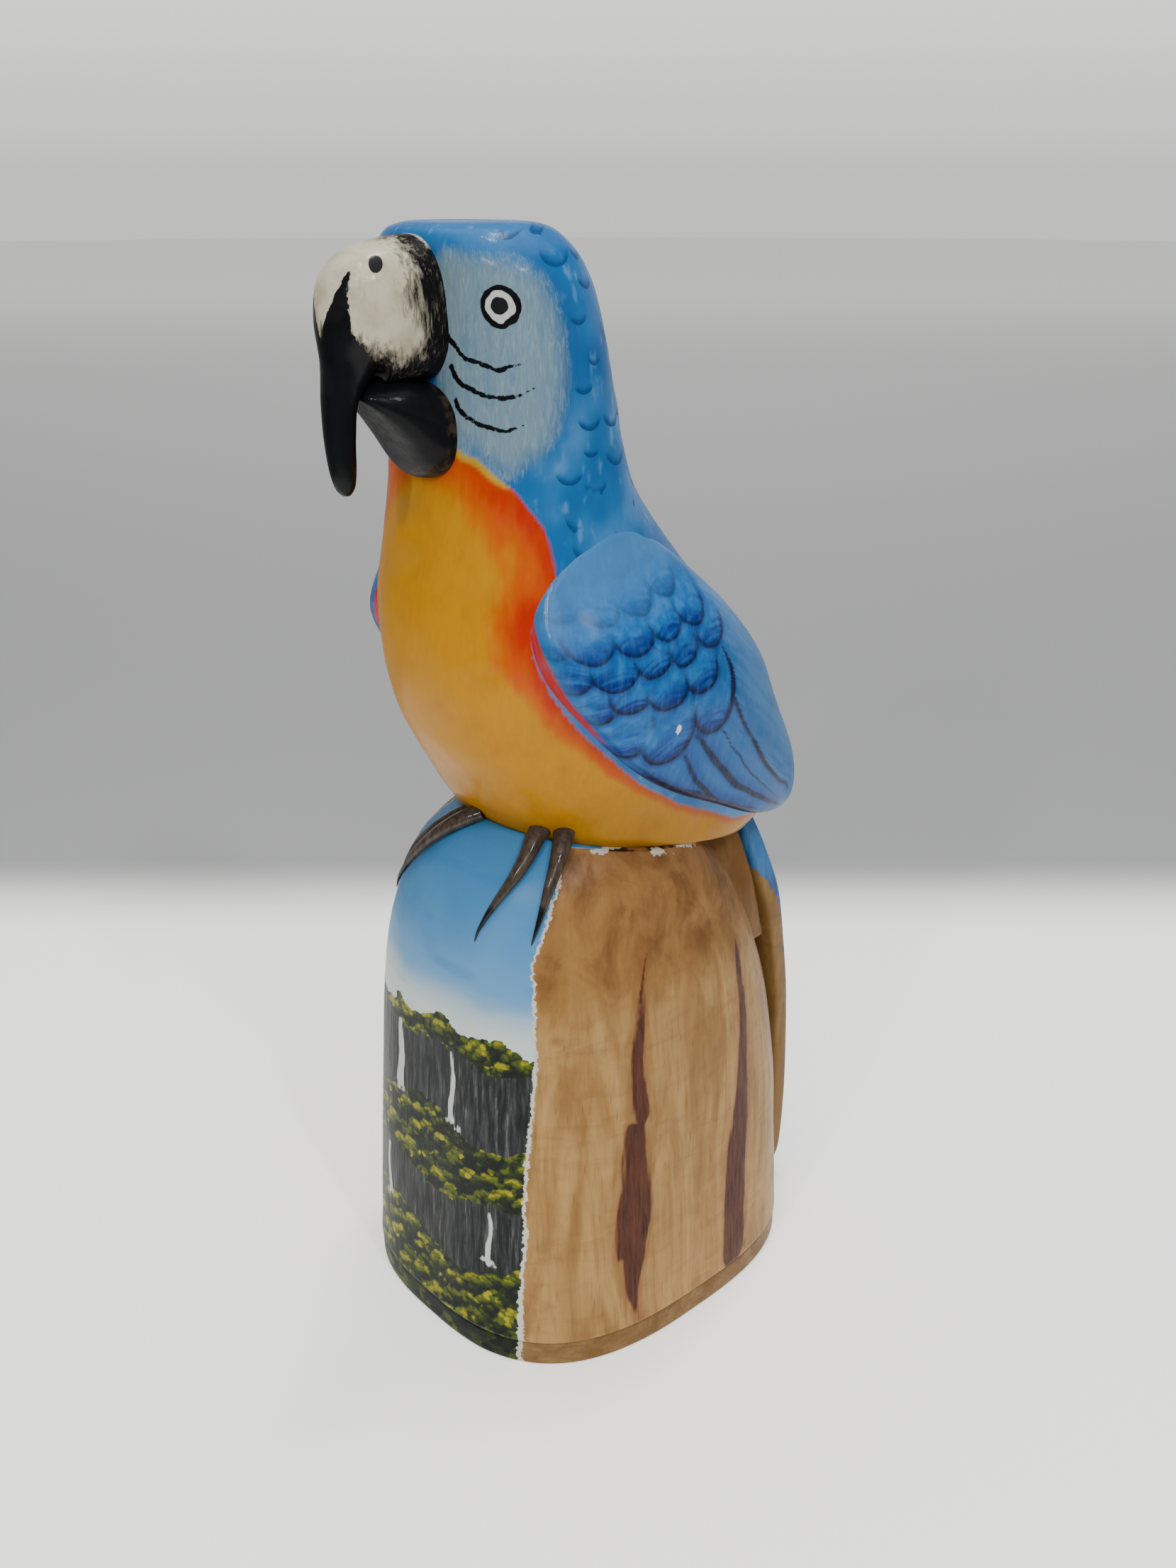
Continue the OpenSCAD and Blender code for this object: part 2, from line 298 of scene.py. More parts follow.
def ring(row, sides):
    """A closed section with its points evenly spaced, from the front middle round by the left."""
    y, z, tilt, depth, width, square = row[:6]
    turn = np.linspace(-math.pi / 2, 1.5 * math.pi, RING_SAMPLES)
    across, along = width * squared(np.cos(turn), square), depth * squared(np.sin(turn), square)
    walked = np.r_[0, np.cumsum(np.hypot(np.diff(across), np.diff(along)))]
    at = np.linspace(0, walked[-1], sides + 1)[:-1]
    across, along = np.interp(at, walked, across), np.interp(at, walked, along)
    lean = math.radians(tilt)
    shift = row[6] if len(row) > 6 else 0
    return np.stack([across + shift, y + along * math.cos(lean), z + along * math.sin(lean)], 1)


def squared(value, square):
    """A sine or cosine bulged out towards the corners of its box."""
    return np.sign(value) * np.abs(value) ** (2 / square)


class Skin:
    """A closed surface of rings, in millimetres, with what is painted on its points."""

    def __init__(self, rings, low_cap=4, high_cap=4):
        rings = list(rings)
        for cap, end in ((low_cap, 0), (high_cap, -1)):
            middle = rings[end].mean(0)
            shrunk = [middle + (rings[end] - middle) * (1 - k / cap) for k in range(1, cap)]
            rings = shrunk[::-1] + rings if end == 0 else rings + shrunk
        self.sides = len(rings[0])
        self.rings = len(rings)
        self.points = np.concatenate(rings)
        self.fields = {}
        i = np.arange(self.sides)
        j = (i + 1) % self.sides
        quads = []
        for r in range(self.rings - 1):
            o = r * self.sides
            quads.append(np.stack([o + i, o + j, o + self.sides + j, o + self.sides + i], 1))
        self.faces = np.concatenate(quads).tolist()
        self.faces.append(list(range(self.sides))[::-1])
        self.faces.append([(self.rings - 1) * self.sides + k for k in range(self.sides)])

    def outward(self, flat=1.0):
        """Unit directions away from the middle of each ring, with their height scaled by flat."""
        middle = np.repeat(self.points.reshape(self.rings, -1, 3).mean(1), self.sides, 0)
        out = (self.points - middle) * (1, 1, flat)
        return out / np.maximum(np.linalg.norm(out, axis=1), 1e-6)[:, None]

    def round_lengths(self):
        """Distance of each point round its ring from the front middle, positive to the left."""
        p = self.points.reshape(self.rings, self.sides, 3)
        step = np.linalg.norm(np.roll(p, -1, 1) - p, axis=2)
        walked = np.concatenate([np.zeros((self.rings, 1)), np.cumsum(step, 1)], 1)
        whole = walked[:, -1:]
        walked = walked[:, :-1]
        return np.where(walked > whole / 2, walked - whole, walked).reshape(-1)


def build(name, skin, material, node):
    mesh = bpy.data.meshes.new(name)
    mesh.from_pydata((skin.points * MM).tolist(), [], skin.faces)
    for key, values in skin.fields.items():
        values = np.asarray(values, np.float32)
        if values.ndim == 2:
            layer = mesh.attributes.new(key, "FLOAT_COLOR", "POINT")
            layer.data.foreach_set("color", np.c_[values, np.ones(len(values), np.float32)].ravel())
        else:
            layer = mesh.attributes.new(key, "FLOAT", "POINT")
            layer.data.foreach_set("value", values)
    mesh.shade_smooth()
    mesh.materials.append(material)
    obj = bpy.data.objects.new(name, mesh)
    scene.collection.objects.link(obj)
    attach(obj, "root")
    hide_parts(node)


def loft(rows, gap, sides, **caps):
    """A skin over sections of y, z, tilt, half depth, half width and squareness, gap apart."""
    profile = [0, 1, 3, 4]
    return Skin([ring(row, sides) for row in evenly(smooth(rows, CURVE_STEPS), gap, profile)], **caps)


def flank(rows):
    """How far the loft reaches to the left, at places seen from the side."""
    skin = loft(rows, 1.0, 360)
    tree = BVHTree.FromPolygons(skin.points.tolist(), skin.faces)

    def reach(places):
        out = np.zeros(len(places))
        for k, (y, z) in enumerate(places):
            hit = tree.ray_cast(Vector((200, y, z)), Vector((-1, 0, 0)))[0]
            if hit is not None:
                out[k] = hit.x
        return out
    return reach


# ---- painting in numbers

HASH_STEPS = np.array([374761393, 668265263, 1274126177])


def paint(red, green, blue):
    return np.array(rgb(red, green, blue)[:3])


def soft(value, low, high):
    t = np.clip((value - low) / (high - low), 0, 1)
    return t * t * (3 - 2 * t)


def blend(share, a, b):
    share = np.asarray(share, float)
    if share.ndim == 1:
        share = share[:, None]
    return a + (b - a) * share


def layered(colour, *layers):
    for share, tint in layers:
        colour = blend(share, colour, tint)
    return colour


def cloud(points, size, seed, octaves=3):
    """Soft noise from 0 to 1, with patches about size across."""
    points = np.asarray(points, float)
    total = np.zeros(len(points))
    weight = 0.0
    for k in range(octaves):
        q = points / size * 2 ** k + 31.7 * (k + 1)
        cell = np.floor(q).astype(np.int64)
        t = q - cell
        t = t * t * (3 - 2 * t)
        for corner in np.ndindex(*(2,) * points.shape[1]):
            h = (cell + corner) @ HASH_STEPS[:points.shape[1]] + seed * 7919 + k
            h = (h ^ (h >> 13)) * 1103515245 & 0x7fffffff
            h = (h ^ (h >> 16)) * 69069 & 0x7fffffff
            share = np.prod(np.where(corner, t, 1 - t), axis=1)
            total += share * (h / 0x7fffffff) * 0.5 ** k
        weight += 0.5 ** k
    return total / weight


def sway(points, size, seed, octaves=3):
    return cloud(points, size, seed, octaves) - 0.5


def to_line(flat, line):
    """Distance to a line of points, and how far along it the nearest place is, from 0 to 1."""
    line = np.asarray(line, float)
    lengths = np.linalg.norm(np.diff(line, axis=0), axis=1)
    walked = walk(line)
    best = np.full(len(flat), 1e9)
    where = np.zeros(len(flat))
    for k, (a, b) in enumerate(zip(line[:-1], line[1:])):
        t = np.clip((flat - a) @ (b - a) / max((b - a) @ (b - a), 1e-12), 0, 1)
        d = np.linalg.norm(flat - a - t[:, None] * (b - a), axis=1)
        near = d < best
        best[near] = d[near]
        where[near] = (walked[k] + t[near] * lengths[k]) / walked[-1]
    return best, where


def depth_in(flat, shape):
    """Distance inside a closed shape, negative outside."""
    shape = np.asarray(shape, float)
    x, y = flat.T
    held = np.zeros(len(flat), bool)
    for (x0, y0), (x1, y1) in zip(shape, np.roll(shape, -1, 0)):
        if y0 != y1:
            held ^= ((y0 > y) != (y1 > y)) & (x < (x1 - x0) * (y - y0) / (y1 - y0) + x0)
    d = to_line(flat, np.vstack([shape, shape[:1]]))[0]
    return np.where(held, d, -d)


# ---- the carved sections

stump_sections = [
    [0, 8, 0, 59.9, 52, 2.8, 0], [0, 34, 0, 58.2, 51, 2.8, 0], [-0.3, 60, 0, 56.6, 50, 2.8, 0],
    [-1.9, 88, 0, 53.4, 49, 2.7, 0], [-3.8, 108, -1.5, 50.2, 46.3, 2.6, 0.2],
    [-4.4, 122, -5, 46.6, 42.8, 2.5, 0.7], [-4.2, 133, -8.5, 42, 39.8, 2.4, 1.2],
    [-3.6, 140.5, -10.5, 37.5, 36.2, 2.2, 2.1], [-3, 145.3, -11.31, 32.2, 33.2, 2.1, 2.6],
]
body_sections = [
    [9.5, 142.8, -11.31, 44.3, 35, 2.3], [16, 152, -6, 54.6, 37.5, 2.3], [12, 162, -2.5, 53.6, 40, 2.3],
    [1.4, 178, 0, 50.2, 42, 2.3], [-6.6, 195, 0, 46.4, 41.6, 2.3], [-14, 212, 0, 39.8, 39.4, 2.3],
    [-19.8, 228, 0, 31.2, 36, 2.3], [-24, 243, 0, 24.2, 34, 2.3], [-26.7, 262, 0, 22, 33.2, 2.3],
    [-29.3, 281, 0, 20, 31.8, 2.3], [-31.6, 291.5, 0, 18.8, 28.5, 2.3], [-33, 297.5, 0, 17.2, 23, 2.2],
    [-33.2, 299.5, 0, 13.8, 18.8, 2.1], [-33.2, 300, 0, 9.5, 14, 2.1],
]
wing_sections = [
    [19, 138, -6, 49, 33, 2.3], [18.5, 147, -6, 53, 39, 2.3], [14, 158, -3, 53.4, 43, 2.3],
    [3, 176, 0, 50.8, 47, 2.4], [-5.6, 194, 0, 47.4, 49, 2.5], [-13, 209, 0, 42.2, 46.4, 2.5],
    [-18.6, 222, 0, 35.6, 39.6, 2.4], [-21.8, 234, 0, 28.4, 35, 2.3], [-24, 244, 0, 23, 32.5, 2.3],
]
upper_beak_sections = [
    [-47, 281.8, 90, 15.6, 11.2, 2.5], [-52, 281.8, 90, 15.6, 11.4, 2.5], [-60, 281.1, 90, 15.3, 11.6, 2.4],
    [-65.5, 279.5, 110, 13.6, 10.4, 2.3], [-67.4, 275.5, 136, 9.6, 8, 2.1],
    [-68.6, 270.5, 158, 6.2, 5.6, 2.1], [-70.8, 263, 176, 4.2, 3.9, 2.1], [-71.3, 255, 181, 3.6, 3.4, 2.1],
    [-71, 248, 186, 3.1, 2.9, 2.1], [-70.6, 244, 188, 2.2, 2.2, 2.1], [-70.4, 242.3, 188, 0.9, 1, 2.1],
]
lower_beak_sections = [
    [-47, 255, 90, 11.1, 11.6, 2.4], [-50, 255, 90, 11.1, 11.6, 2.4], [-55.2, 256.8, 102, 11.5, 10.9, 2.3],
    [-60, 258.9, 116, 8.5, 8.8, 2.2], [-63.5, 260.8, 126, 5, 6, 2.1], [-65.9, 262.4, 132, 1.8, 2.8, 2.1],
]
wing_outline = [
    [-31, 229], [-39, 221], [-42, 210], [-39.5, 199], [-32, 188], [-20, 175], [-6, 164.5], [12, 155.5],
    [30, 146.5], [46, 141.5], [57, 142.5], [60, 150], [53, 165], [40, 184], [22, 205], [2, 224], [-16, 233],
]


# ---- colours of the paint

BLUE = paint(62, 118, 170)
SKY_BLUE = paint(98, 150, 196)
MID_BLUE = paint(24, 88, 146)
DEEP_BLUE = paint(3, 50, 118)
NAVY = paint(8, 12, 46)
TEAL = paint(6, 62, 112)
YELLOW = paint(182, 124, 0)
ORANGE = paint(184, 74, 0)
RED = paint(172, 34, 3)
CHEEK = paint(104, 128, 142)
CREAM = paint(190, 184, 162)
INK = paint(12, 13, 15)


def gloss(n, size, strength, coat=0.17, coat_rough=0.03):
    """Brushed-on lacquer: a wavy clear coat over faint brush marks."""
    wave = n.noise(1000 / size, detail=1)
    ripple = n.noise(5000 / size, detail=3, rough=0.6)
    marks = n.noise((1500, 1500, 260), detail=3, rough=0.6)
    under = n.bump(marks, 0.3, 0.0002)
    top = n.bump(ripple, strength, 0.00003, n.bump(wave, strength, 0.00015, under))
    return dict(normal=under, coat_normal=top, coat=coat, coat_rough=coat_rough)


# ---- the bird's body

def side_places(skin):
    """Where each point lies on the unrolled flank: distance round from the front, and height."""
    return np.c_[np.abs(skin.round_lengths()), skin.points[:, 2]]


def on_skin(skin, flat, spots):
    """The same places for spots given as x, y, z."""
    out = []
    for spot in spots:
        d = ((skin.points - np.asarray(spot, float)) ** 2).sum(1)
        out.append(flat[int(d.argmin())])
    return np.array(out)


def scales(flat, rows):
    """Small feather tips in rows: how deep a point lies in one, and how near its lower edge."""
    depth = np.full(len(flat), -9.0)
    low = np.zeros(len(flat))
    for round_from, height, radius in rows:
        d = flat - (round_from, height + radius)
        near = radius - np.hypot(d[:, 0], d[:, 1] * 1.05)
        use = near > depth
        depth[use] = near[use]
        low[use] = np.clip(-d[use, 1] / radius, 0, 1)
    return depth, low


def make_body():
    skin = loft(body_sections, 0.75, 330, low_cap=3, high_cap=14)
    flat = side_places(skin)
    p = skin.points

    def spots(*places):
        return on_skin(skin, flat, places)

    cheek = smooth(spots((9, -50.5, 293), (17, -48, 295), (22, -45, 295), (25, -41, 294), (28, -37, 291),
                         (30, -34, 287), (32, -32, 281), (32, -31, 275), (32, -31, 269), (33, -32, 263),
                         (32, -33, 257), (31, -36, 252), (29, -39, 249), (25, -42, 245), (21, -44, 247),
                         (17, -46, 250), (11, -47, 252), (6, -50, 262), (6, -51, 282)), 3, loop=True)
    cheek_in = depth_in(flat, cheek)
    bib_edge = spots((0, -48, 254), (11, -47, 252), (17, -46, 250), (21, -44, 247), (25, -42, 243),
                     (28, -40, 239), (30, -38, 235), (31, -37, 231), (32, -36, 226), (33, -36, 219),
                     (31, -42, 212), (31, -42, 205), (33, -38, 195), (36, -32, 186), (38, -23, 176),
                     (38, -13, 167), (38, 1, 158), (36, 25, 146))
    rear = spots((33, 42, 141), (27, 52, 137))
    bib = np.vstack([[[-60, 254]], bib_edge, rear, [[rear[-1][0] + 2, 130], [-60, 130]]])
    bib_in = depth_in(flat, bib)
    grain = cloud(p * (1, 1, 0.4), 5, 3)
    fine = cloud(p * (1, 1, 0.35), 1.6, 4)

    width = np.interp(flat[:, 1], [140, 160, 185, 205, 220, 235, 252], [2.2, 3.5, 7, 12, 15, 15, 12])
    t = bib_in / width + (grain - 0.5) * 0.55 + (fine - 0.5) * 0.25
    heat = soft(flat[:, 1], 165, 200) * (1 - 0.55 * soft(flat[:, 1], 238, 250))
    edge = blend(heat, ORANGE, RED)
    warm = blend(soft(t, 0.1, 0.5), edge, ORANGE)
    warm = blend(soft(t, 0.45, 1.05), warm, YELLOW)
    # The lower belly is painted a darker yellow, and below 200 mm the warm paint is darkened further
    # towards the stump as painted shade.
    belly = soft(flat[:, 1], 178, 150) * 0.3 + 0.25 * (grain - 0.5)
    warm = blend(np.clip(belly, 0, 1), warm, paint(150, 102, 0))
    warm = warm * np.interp(p[:, 2], [158, 200], [0.78, 1.0])[:, None]
    rim = soft(cheek_in, -2.4, -1.2) * (flat[:, 1] < 253) * (flat[:, 0] < cheek[:, 0].max())
    warm = blend(rim, warm, paint(172, 140, 40))

    shade = cloud(p, 14, 8)
    blue = blend(soft(shade, 0.3, 0.75), BLUE, MID_BLUE)
    blue = layered(blue,
        (0.55 * soft(p[:, 2], 250, 296), MID_BLUE), (0.5 * soft(fine, 0.62, 0.85), SKY_BLUE),
        (0.6 * soft(cheek_in, -4.5, -0.5) * soft(p[:, 1], -46, -34), paint(24, 76, 132)))

    tone = blend(soft(cheek_in + 3 * (grain - 0.5), 0, 6), paint(62, 104, 140), CHEEK)
    tone = blend(0.6 * soft(flat[:, 0], 19, 10), tone, paint(110, 130, 134))

    side = soft(bib_in + 0.5 * (fine - 0.5), -0.25, 0.25)
    d = flat - spots((24, -44, 283))[0]
    skin.fields.update(paint=blend(side, blue, warm), cheek_tone=tone, cheek_in=cheek_in,
                       eye=np.hypot(d[:, 0] * 0.98, d[:, 1] * 1.02))

    ink = np.full(len(flat), 9.0)
    for line in (((9, -47, 278), (12, -48, 275), (15, -47, 272), (18, -46, 271), (23, -44, 270),
                  (25, -43, 270.5), (28, -41, 271.5)),
                 ((11, -48, 270), (13, -48, 267), (16, -47, 265), (21, -45, 264), (25, -43, 264),
                  (27, -41, 264.7), (29, -39, 266)),
                 ((12, -48, 262), (13, -47, 260), (17, -46, 258), (20, -45, 257), (24, -43, 256.7),
                  (26, -42, 257), (27.5, -41, 258))):
        d, along = to_line(flat, smooth(spots(*line), 4))
        ink = np.minimum(ink, d - np.interp(along, [0, 0.25, 0.8, 1], [0.75, 0.6, 0.45, 0.08]))
    skin.fields["ink"] = ink

    tips = [(*spots(place)[0], radius) for place, radius in (
        ((32, -28, 279), 3.0), ((32, -24, 269.5), 2.8), ((33, -28, 264), 3.2), ((33, -26, 256), 3.8),
        ((32, -18, 256), 4.4), ((34, -26, 249.5), 2.4), ((33, -17, 247), 4.6), ((33, -32, 244), 3.6),
        ((34, -25, 241), 3.8), ((34, -15, 235), 4.8), ((35, -29, 232.5), 5.6), ((32, -18, 228.5), 5.6),
        ((23, -41, 297), 3.0), ((24, -33, 297.5), 3.4), ((28, -32, 290.5), 5.0), ((29, -24, 286), 3.6))]
    for k, height in enumerate(np.arange(292, 196, -8.7)):
        half = flat[np.abs(p[:, 2] - height) < 2, 0].max()
        for c in range(5):
            place = half - (c + 0.5 * (k % 2)) * 10.4
            beside = min(abs(place - t[0]) + abs(height - t[1]) for t in tips)
            if place > half - 34 and beside > 6.5:
                tips.append((place, height, 3.4 + 0.5 * ((k * 7 + c * 3) % 3) + 0.8 * (height < 240)))
    for y, z, radius in ((-28, 226, 6.4), (-17, 222, 6.8), (-5, 219, 6.4), (6, 214, 6.0)):
        tips.append((*spots((38, y, z))[0], radius))
    depth, low = scales(flat, tips)
    low = low * soft(-bib_in, 1, 3) * soft(-cheek_in, 0.5, 2)
    skin.fields.update(scale_in=depth, scale_low=low)

    # The carver's knife leaves the surface a little uneven, with a shallow groove round the cheek.
    uneven = sway(p, 9, 5, 2) * 0.7 + sway(p, 24, 6, 2) * 0.9
    groove = 0.45 * np.exp(-(cheek_in / 1.6) ** 2) * soft(p[:, 1], -47, -38)
    top = soft(p[:, 2], 299, 292)
    skin.points = p + skin.outward(0.2) * ((uneven - groove) * top * soft(p[:, 2], 143, 150))[:, None]
    build("bird_body", skin, body_paint(), "body")


def body_paint():
    n = Nodes("painted_body")
    colour = n.attribute("paint", True)
    streak = n.noise((900, 900, 120), detail=4, rough=0.6, warp=0.3)
    blotch = n.noise(90, detail=3)
    colour = n.mix(n.ramp(streak, 0.35, 0.75, 0.0, 0.12), colour, (1, 1, 1), "SOFT_LIGHT")
    colour = n.mix(n.ramp(blotch, 0.45, 0.8, 0.0, 0.2), colour, (0, 0, 0), "SOFT_LIGHT")
    # small feather tips: a teal crescent that fades upwards
    inside = n.attribute("scale_in")
    crescent = n.times(n.ramp(inside, 0.0, 0.2), n.ramp(inside, 0.3, 2.4, 1.0, 0.0))
    low = n.attribute("scale_low")
    crescent = n.times(crescent, n.ramp(low, 0.05, 0.6))
    colour = n.mix(n.times(crescent, 0.95), colour, TEAL)
    # pale cheek with dry brush streaks
    dry = n.noise((900, 900, 170), detail=5, rough=0.65, warp=1.6, turn=(0.25, 0.1, 0))
    cheek_in = n.ragged(n.attribute("cheek_in"), dry, 0.6)
    pale = n.attribute("cheek_tone", True)
    pale = n.over(pale, rgb(136, 160, 172), dry, 0.42, 0.72, 0.0, 0.5)
    swept = n.noise((500, 500, 90), detail=4, warp=0.8)
    pale = n.over(pale, rgb(64, 102, 138), swept, 0.5, 0.75, 0.0, 0.45)
    colour = n.over(colour, pale, cheek_in, -1.0, 1.6)
    # thin painted lines on the cheek and the ringed eye
    ink = n.ragged(n.attribute("ink"), n.noise(700, detail=2), 0.16)
    colour = n.over(colour, INK, ink, 0.1, -0.1)
    eye = n.ragged(n.attribute("eye"), n.noise(220, detail=2), 0.35)
    colour = n.layers(colour,
        (INK, eye, 4.75, 4.55), (rgb(184, 186, 182), eye, 3.4, 3.2), (rgb(26, 28, 30), eye, 2.0, 1.85))
    rough = n.ramp(streak, 0.3, 0.7, 0.36, 0.52)
    n.finish(colour, rough, **gloss(n, 5.0, 0.55))
    return n.material


# ---- wings

SPINE = np.array([[-22, 210], [-4, 193], [20, 172], [44, 153]], float)
WALL_RINGS = 8


def wing_mesh():
    """The left wing: a dome over its outline with rounded edges, on a flat back against the body."""
    seat, edge_round, gap = 27, 2.0, 0.42
    outline = evenly(np.vstack([smooth(wing_outline, 8, loop=True), wing_outline[:1]]), gap)[:-1]
    along = to_line(outline, SPINE)[1]
    walked = walk(SPINE)
    along = along * walked[-1]
    for _ in range(40):
        along = (np.roll(along, 1) + 2 * along + np.roll(along, -1)) / 4
    middle = read_off(along, walked, SPINE)
    dome, torso = flank(wing_sections), flank(body_sections)

    def reach(flat):
        share = 1 - 0.85 * soft(flat[:, 1] - 0.35 * flat[:, 0], 214, 236)
        under = torso(flat)
        return under + (dome(flat) - under) * share + 0.25

    rings = []
    steps = int(np.linalg.norm(outline - middle, axis=1).max() / gap)
    outer = reach(outline)
    for k in range(WALL_RINGS):
        level = seat + (np.maximum(outer - edge_round, seat + 0.5) - seat) * k / WALL_RINGS
        rings.append(np.c_[level, outline])
    for k in range(steps + 1):
        share = 0.9995 * k / steps
        share = share * (0.35 + 0.65 * share)
        flat = outline + (middle - outline) * share
        inward = np.linalg.norm(flat - outline, axis=1)
        short = np.maximum(edge_round - inward, 0)
        round_off = edge_round - np.sqrt(edge_round ** 2 - short ** 2)
        rings.append(np.c_[np.maximum(reach(flat) - round_off, seat + 0.5), flat])
    return Skin(rings, low_cap=1, high_cap=1), outline


def feather_rows():
    """Painted covert feathers, lowest row first: the tip, the way it points, and the half width."""
    return [
        [(-23.5, 178, 0.24, -0.97, 6.6), (-9.5, 175, 0.38, -0.92, 7.2), (2.5, 179.5, 0.1, -1.0, 6.4)],
        [(-32.5, 188.5, 0.2, -0.98, 5.8), (-23.5, 190.5, 0.22, -0.97, 5.4),
         (-12.5, 190, 0.3, -0.95, 5.8), (-2, 192, 0.2, -0.98, 5.4)],
        [(-38.5, 197, 0.1, -0.99, 5.4), (-27.5, 197, 0.2, -0.98, 5.4), (-17, 199, 0.22, -0.97, 5.2),
         (-7.5, 200, 0.22, -0.97, 5.0), (3, 202, 0.1, -0.99, 5.0)],
        [(-41, 205, 0.05, -1.0, 5.0), (-32.5, 204, 0.15, -0.99, 5.0), (-22, 205, 0.2, -0.98, 5.0),
         (-12, 207, 0.2, -0.98, 5.0), (-2, 209, 0.15, -0.99, 5.0)],
        [(-36.5, 213, 0.1, -1.0, 4.6), (-28.5, 212, 0.1, -1.0, 4.6), (-18, 213.5, 0.2, -0.98, 5.0),
         (-8, 216, 0.15, -0.99, 5.0)],
        [(-39, 219, 0.1, -1.0, 4.2), (-30, 221, 0.15, -0.99, 4.6), (-20, 222, 0.2, -0.98, 5.0),
         (-10, 224, 0.15, -0.99, 4.6)],
    ]


def paint_wing(flat, wall, outline):
    """Blue wing with curved brush strokes that darken to navy at every feather's tip, painted shadow below
    each covert's edge and painted shade along the wing's lower edge.
    """
    fine = cloud(flat, 2.2, 21)
    seen = flat + np.c_[cloud(flat, 9, 23, 2) - 0.5, cloud(flat, 9, 24, 2) - 0.5] * 1.6
    y, z = seen.T
    light = blend(soft(fine, 0.3, 0.8), paint(20, 86, 150), paint(46, 108, 168))

    # long flight feathers behind and below the coverts
    lines = [([(-17, 171), (-9, 167.5), (4, 160.5), (18, 153), (32, 146.5)], 1.3),
             ([(-6, 174.5), (2, 164), (14, 155.5), (31, 148.5)], 1.1),
             ([(-3, 180), (7, 169.5), (20, 158.5), (47, 143)], 1.5),
             ([(5, 181), (12, 173), (24, 161), (43, 147)], 0.5),
             ([(8, 190), (17, 177), (30, 163), (51, 146)], 1.4)]
    streaks = cloud(seen @ np.array([[0.79, 0.62], [-0.62, 0.79]]) * (0.12, 1.6), 1.5, 25)
    flight = blend(soft(streaks, 0.3, 0.75), MID_BLUE, paint(34, 92, 150))
    for line, weight in lines:
        curve = smooth(line, 6)
        near, along = to_line(seen, curve)
        above = np.interp(y, curve[:, 0], curve[:, 1]) < z
        fade = np.where(above, soft(near, 4.5, 0), soft(near, 2.2, 0))
        flight = blend(0.75 * fade * soft(along, 1.0, 0.85) * (weight > 0.6), flight, DEEP_BLUE)
        width = np.interp(along, [0, 0.35, 0.8, 1], [0.5, 0.75, 0.45, 0.1]) * weight
        fade = np.interp(along, [0, 0.9, 1], [1, 1, 0])
        flight = blend(soft(width - near, -0.15, 0.3) * fade, flight, NAVY)

    rear = np.interp(z, [146, 163, 176, 190, 205, 222], [51, 30.5, 17.5, 8.5, 4, -2])
    behind = soft(y - rear, 0.0, 0.6)
    pale = blend(soft(y - rear, 1, 13), paint(28, 88, 146), paint(58, 108, 158))
    pale = blend(0.4 * soft(streaks, 0.4, 0.7), pale, paint(78, 126, 174))
    colour = blend(behind * soft(z, 140, 148), flight, pale)

    covert = depth_in(seen, [(-60, 235), (-60, 186), (-31, 182), (-18, 186),
                             (2, 186), (5, 198), (6, 212), (0, 235)])
    ground = blend(soft(fine, 0.3, 0.75), paint(8, 72, 132), paint(26, 88, 148))
    colour = blend(soft(covert, 0, 1), colour, ground)
    for k, row in enumerate(feather_rows()):
        dark = np.interp(k, [0, 1, 3, 5], [1.0, 0.8, 0.6, 0.35])
        length = np.interp(k, [0, 1, 5], [17, 13, 10])
        for j, feather in enumerate(row):
            tip, toward, half = np.array(feather[:2]), np.array(feather[2:4]), 1.18 * feather[4]
            toward = toward / np.hypot(*toward)
            v = (tip - seen) @ toward
            u = (seen - tip) @ np.array([-toward[1], toward[0]])
            taper = half * np.interp(v, [0, half, length], [1, 1, 0.86])
            depth = taper - np.hypot(u, np.minimum(v - half, 0))
            inside = soft(depth, -0.15, 0.2) * soft(v, length, length * 0.7)
            # painted shadow: just below each feather's tip edge, the feathers under it are darkened towards
            # deep blue
            shade = soft(depth, -1.6, 0) * (depth < 0) * soft(v, length * 0.6, 2) * 0.8 * dark
            colour = blend(shade, colour, DEEP_BLUE)
            turn = np.arctan2(u, np.maximum(half - v, 0.01) + half * 0.6)
            arc = (v + u * u / half * 0.42) / 0.8
            stroke = cloud(np.c_[arc, turn * 1.4, np.full(len(u), k * 9.1 + j * 3.3)], 1.0, 31 + k)
            back = v / length
            body = blend(soft(back + (stroke - 0.5) * 0.8, 0.08, 0.6), paint(0, 40, 112), light)
            body = blend(0.55 * soft(stroke, 0.55, 0.8), body, paint(30, 92, 158))
            lip = soft(depth + (stroke - 0.5) * 0.5, 2.4 * dark + 0.5, 0.3)
            lip = lip * soft(v, length * 0.75, half * 0.6)
            body = blend(lip * (0.45 + 0.5 * dark), body, blend(dark, DEEP_BLUE, NAVY))
            ridge = soft(depth, 1.15, 0.5) * soft(v, half * 1.5, half * 0.4) * dark
            body = blend(ridge, body, paint(4, 5, 26))
            colour = blend(inside, colour, body)

    # the arched lip that closes the coverts at the rear
    arch, along = to_line(seen, smooth([(5, 203), (8.5, 194), (8, 184), (3.5, 179.2)], 6))
    width = 1.15 * np.sin(np.clip(along, 0.06, 0.96) * math.pi)
    colour = layered(colour,
        (soft(width - arch, -0.1, 0.3), NAVY), (0.9 * soft(z - 0.3 * y, 212, 232), BLUE))

    inside = depth_in(flat, outline)
    # painted shade: the wing's low rim and wall, where it stands off the body, are darkened to near-black
    # navy
    under = soft(inside, 2.6, 0.6) * soft(z, 180, 166) * soft(y, 46, 36)
    colour = blend(0.95 * under, colour, paint(4, 8, 40))
    front = soft(inside, 2.0, 0.2) * soft(z, 182, 192) * (y < -18)
    colour = blend(0.5 * front, colour, paint(40, 96, 146))
    red = wall * soft(z, 180, 188) * soft(z, 226, 216) * (y < -20)
    return blend(0.95 * red, colour, RED)


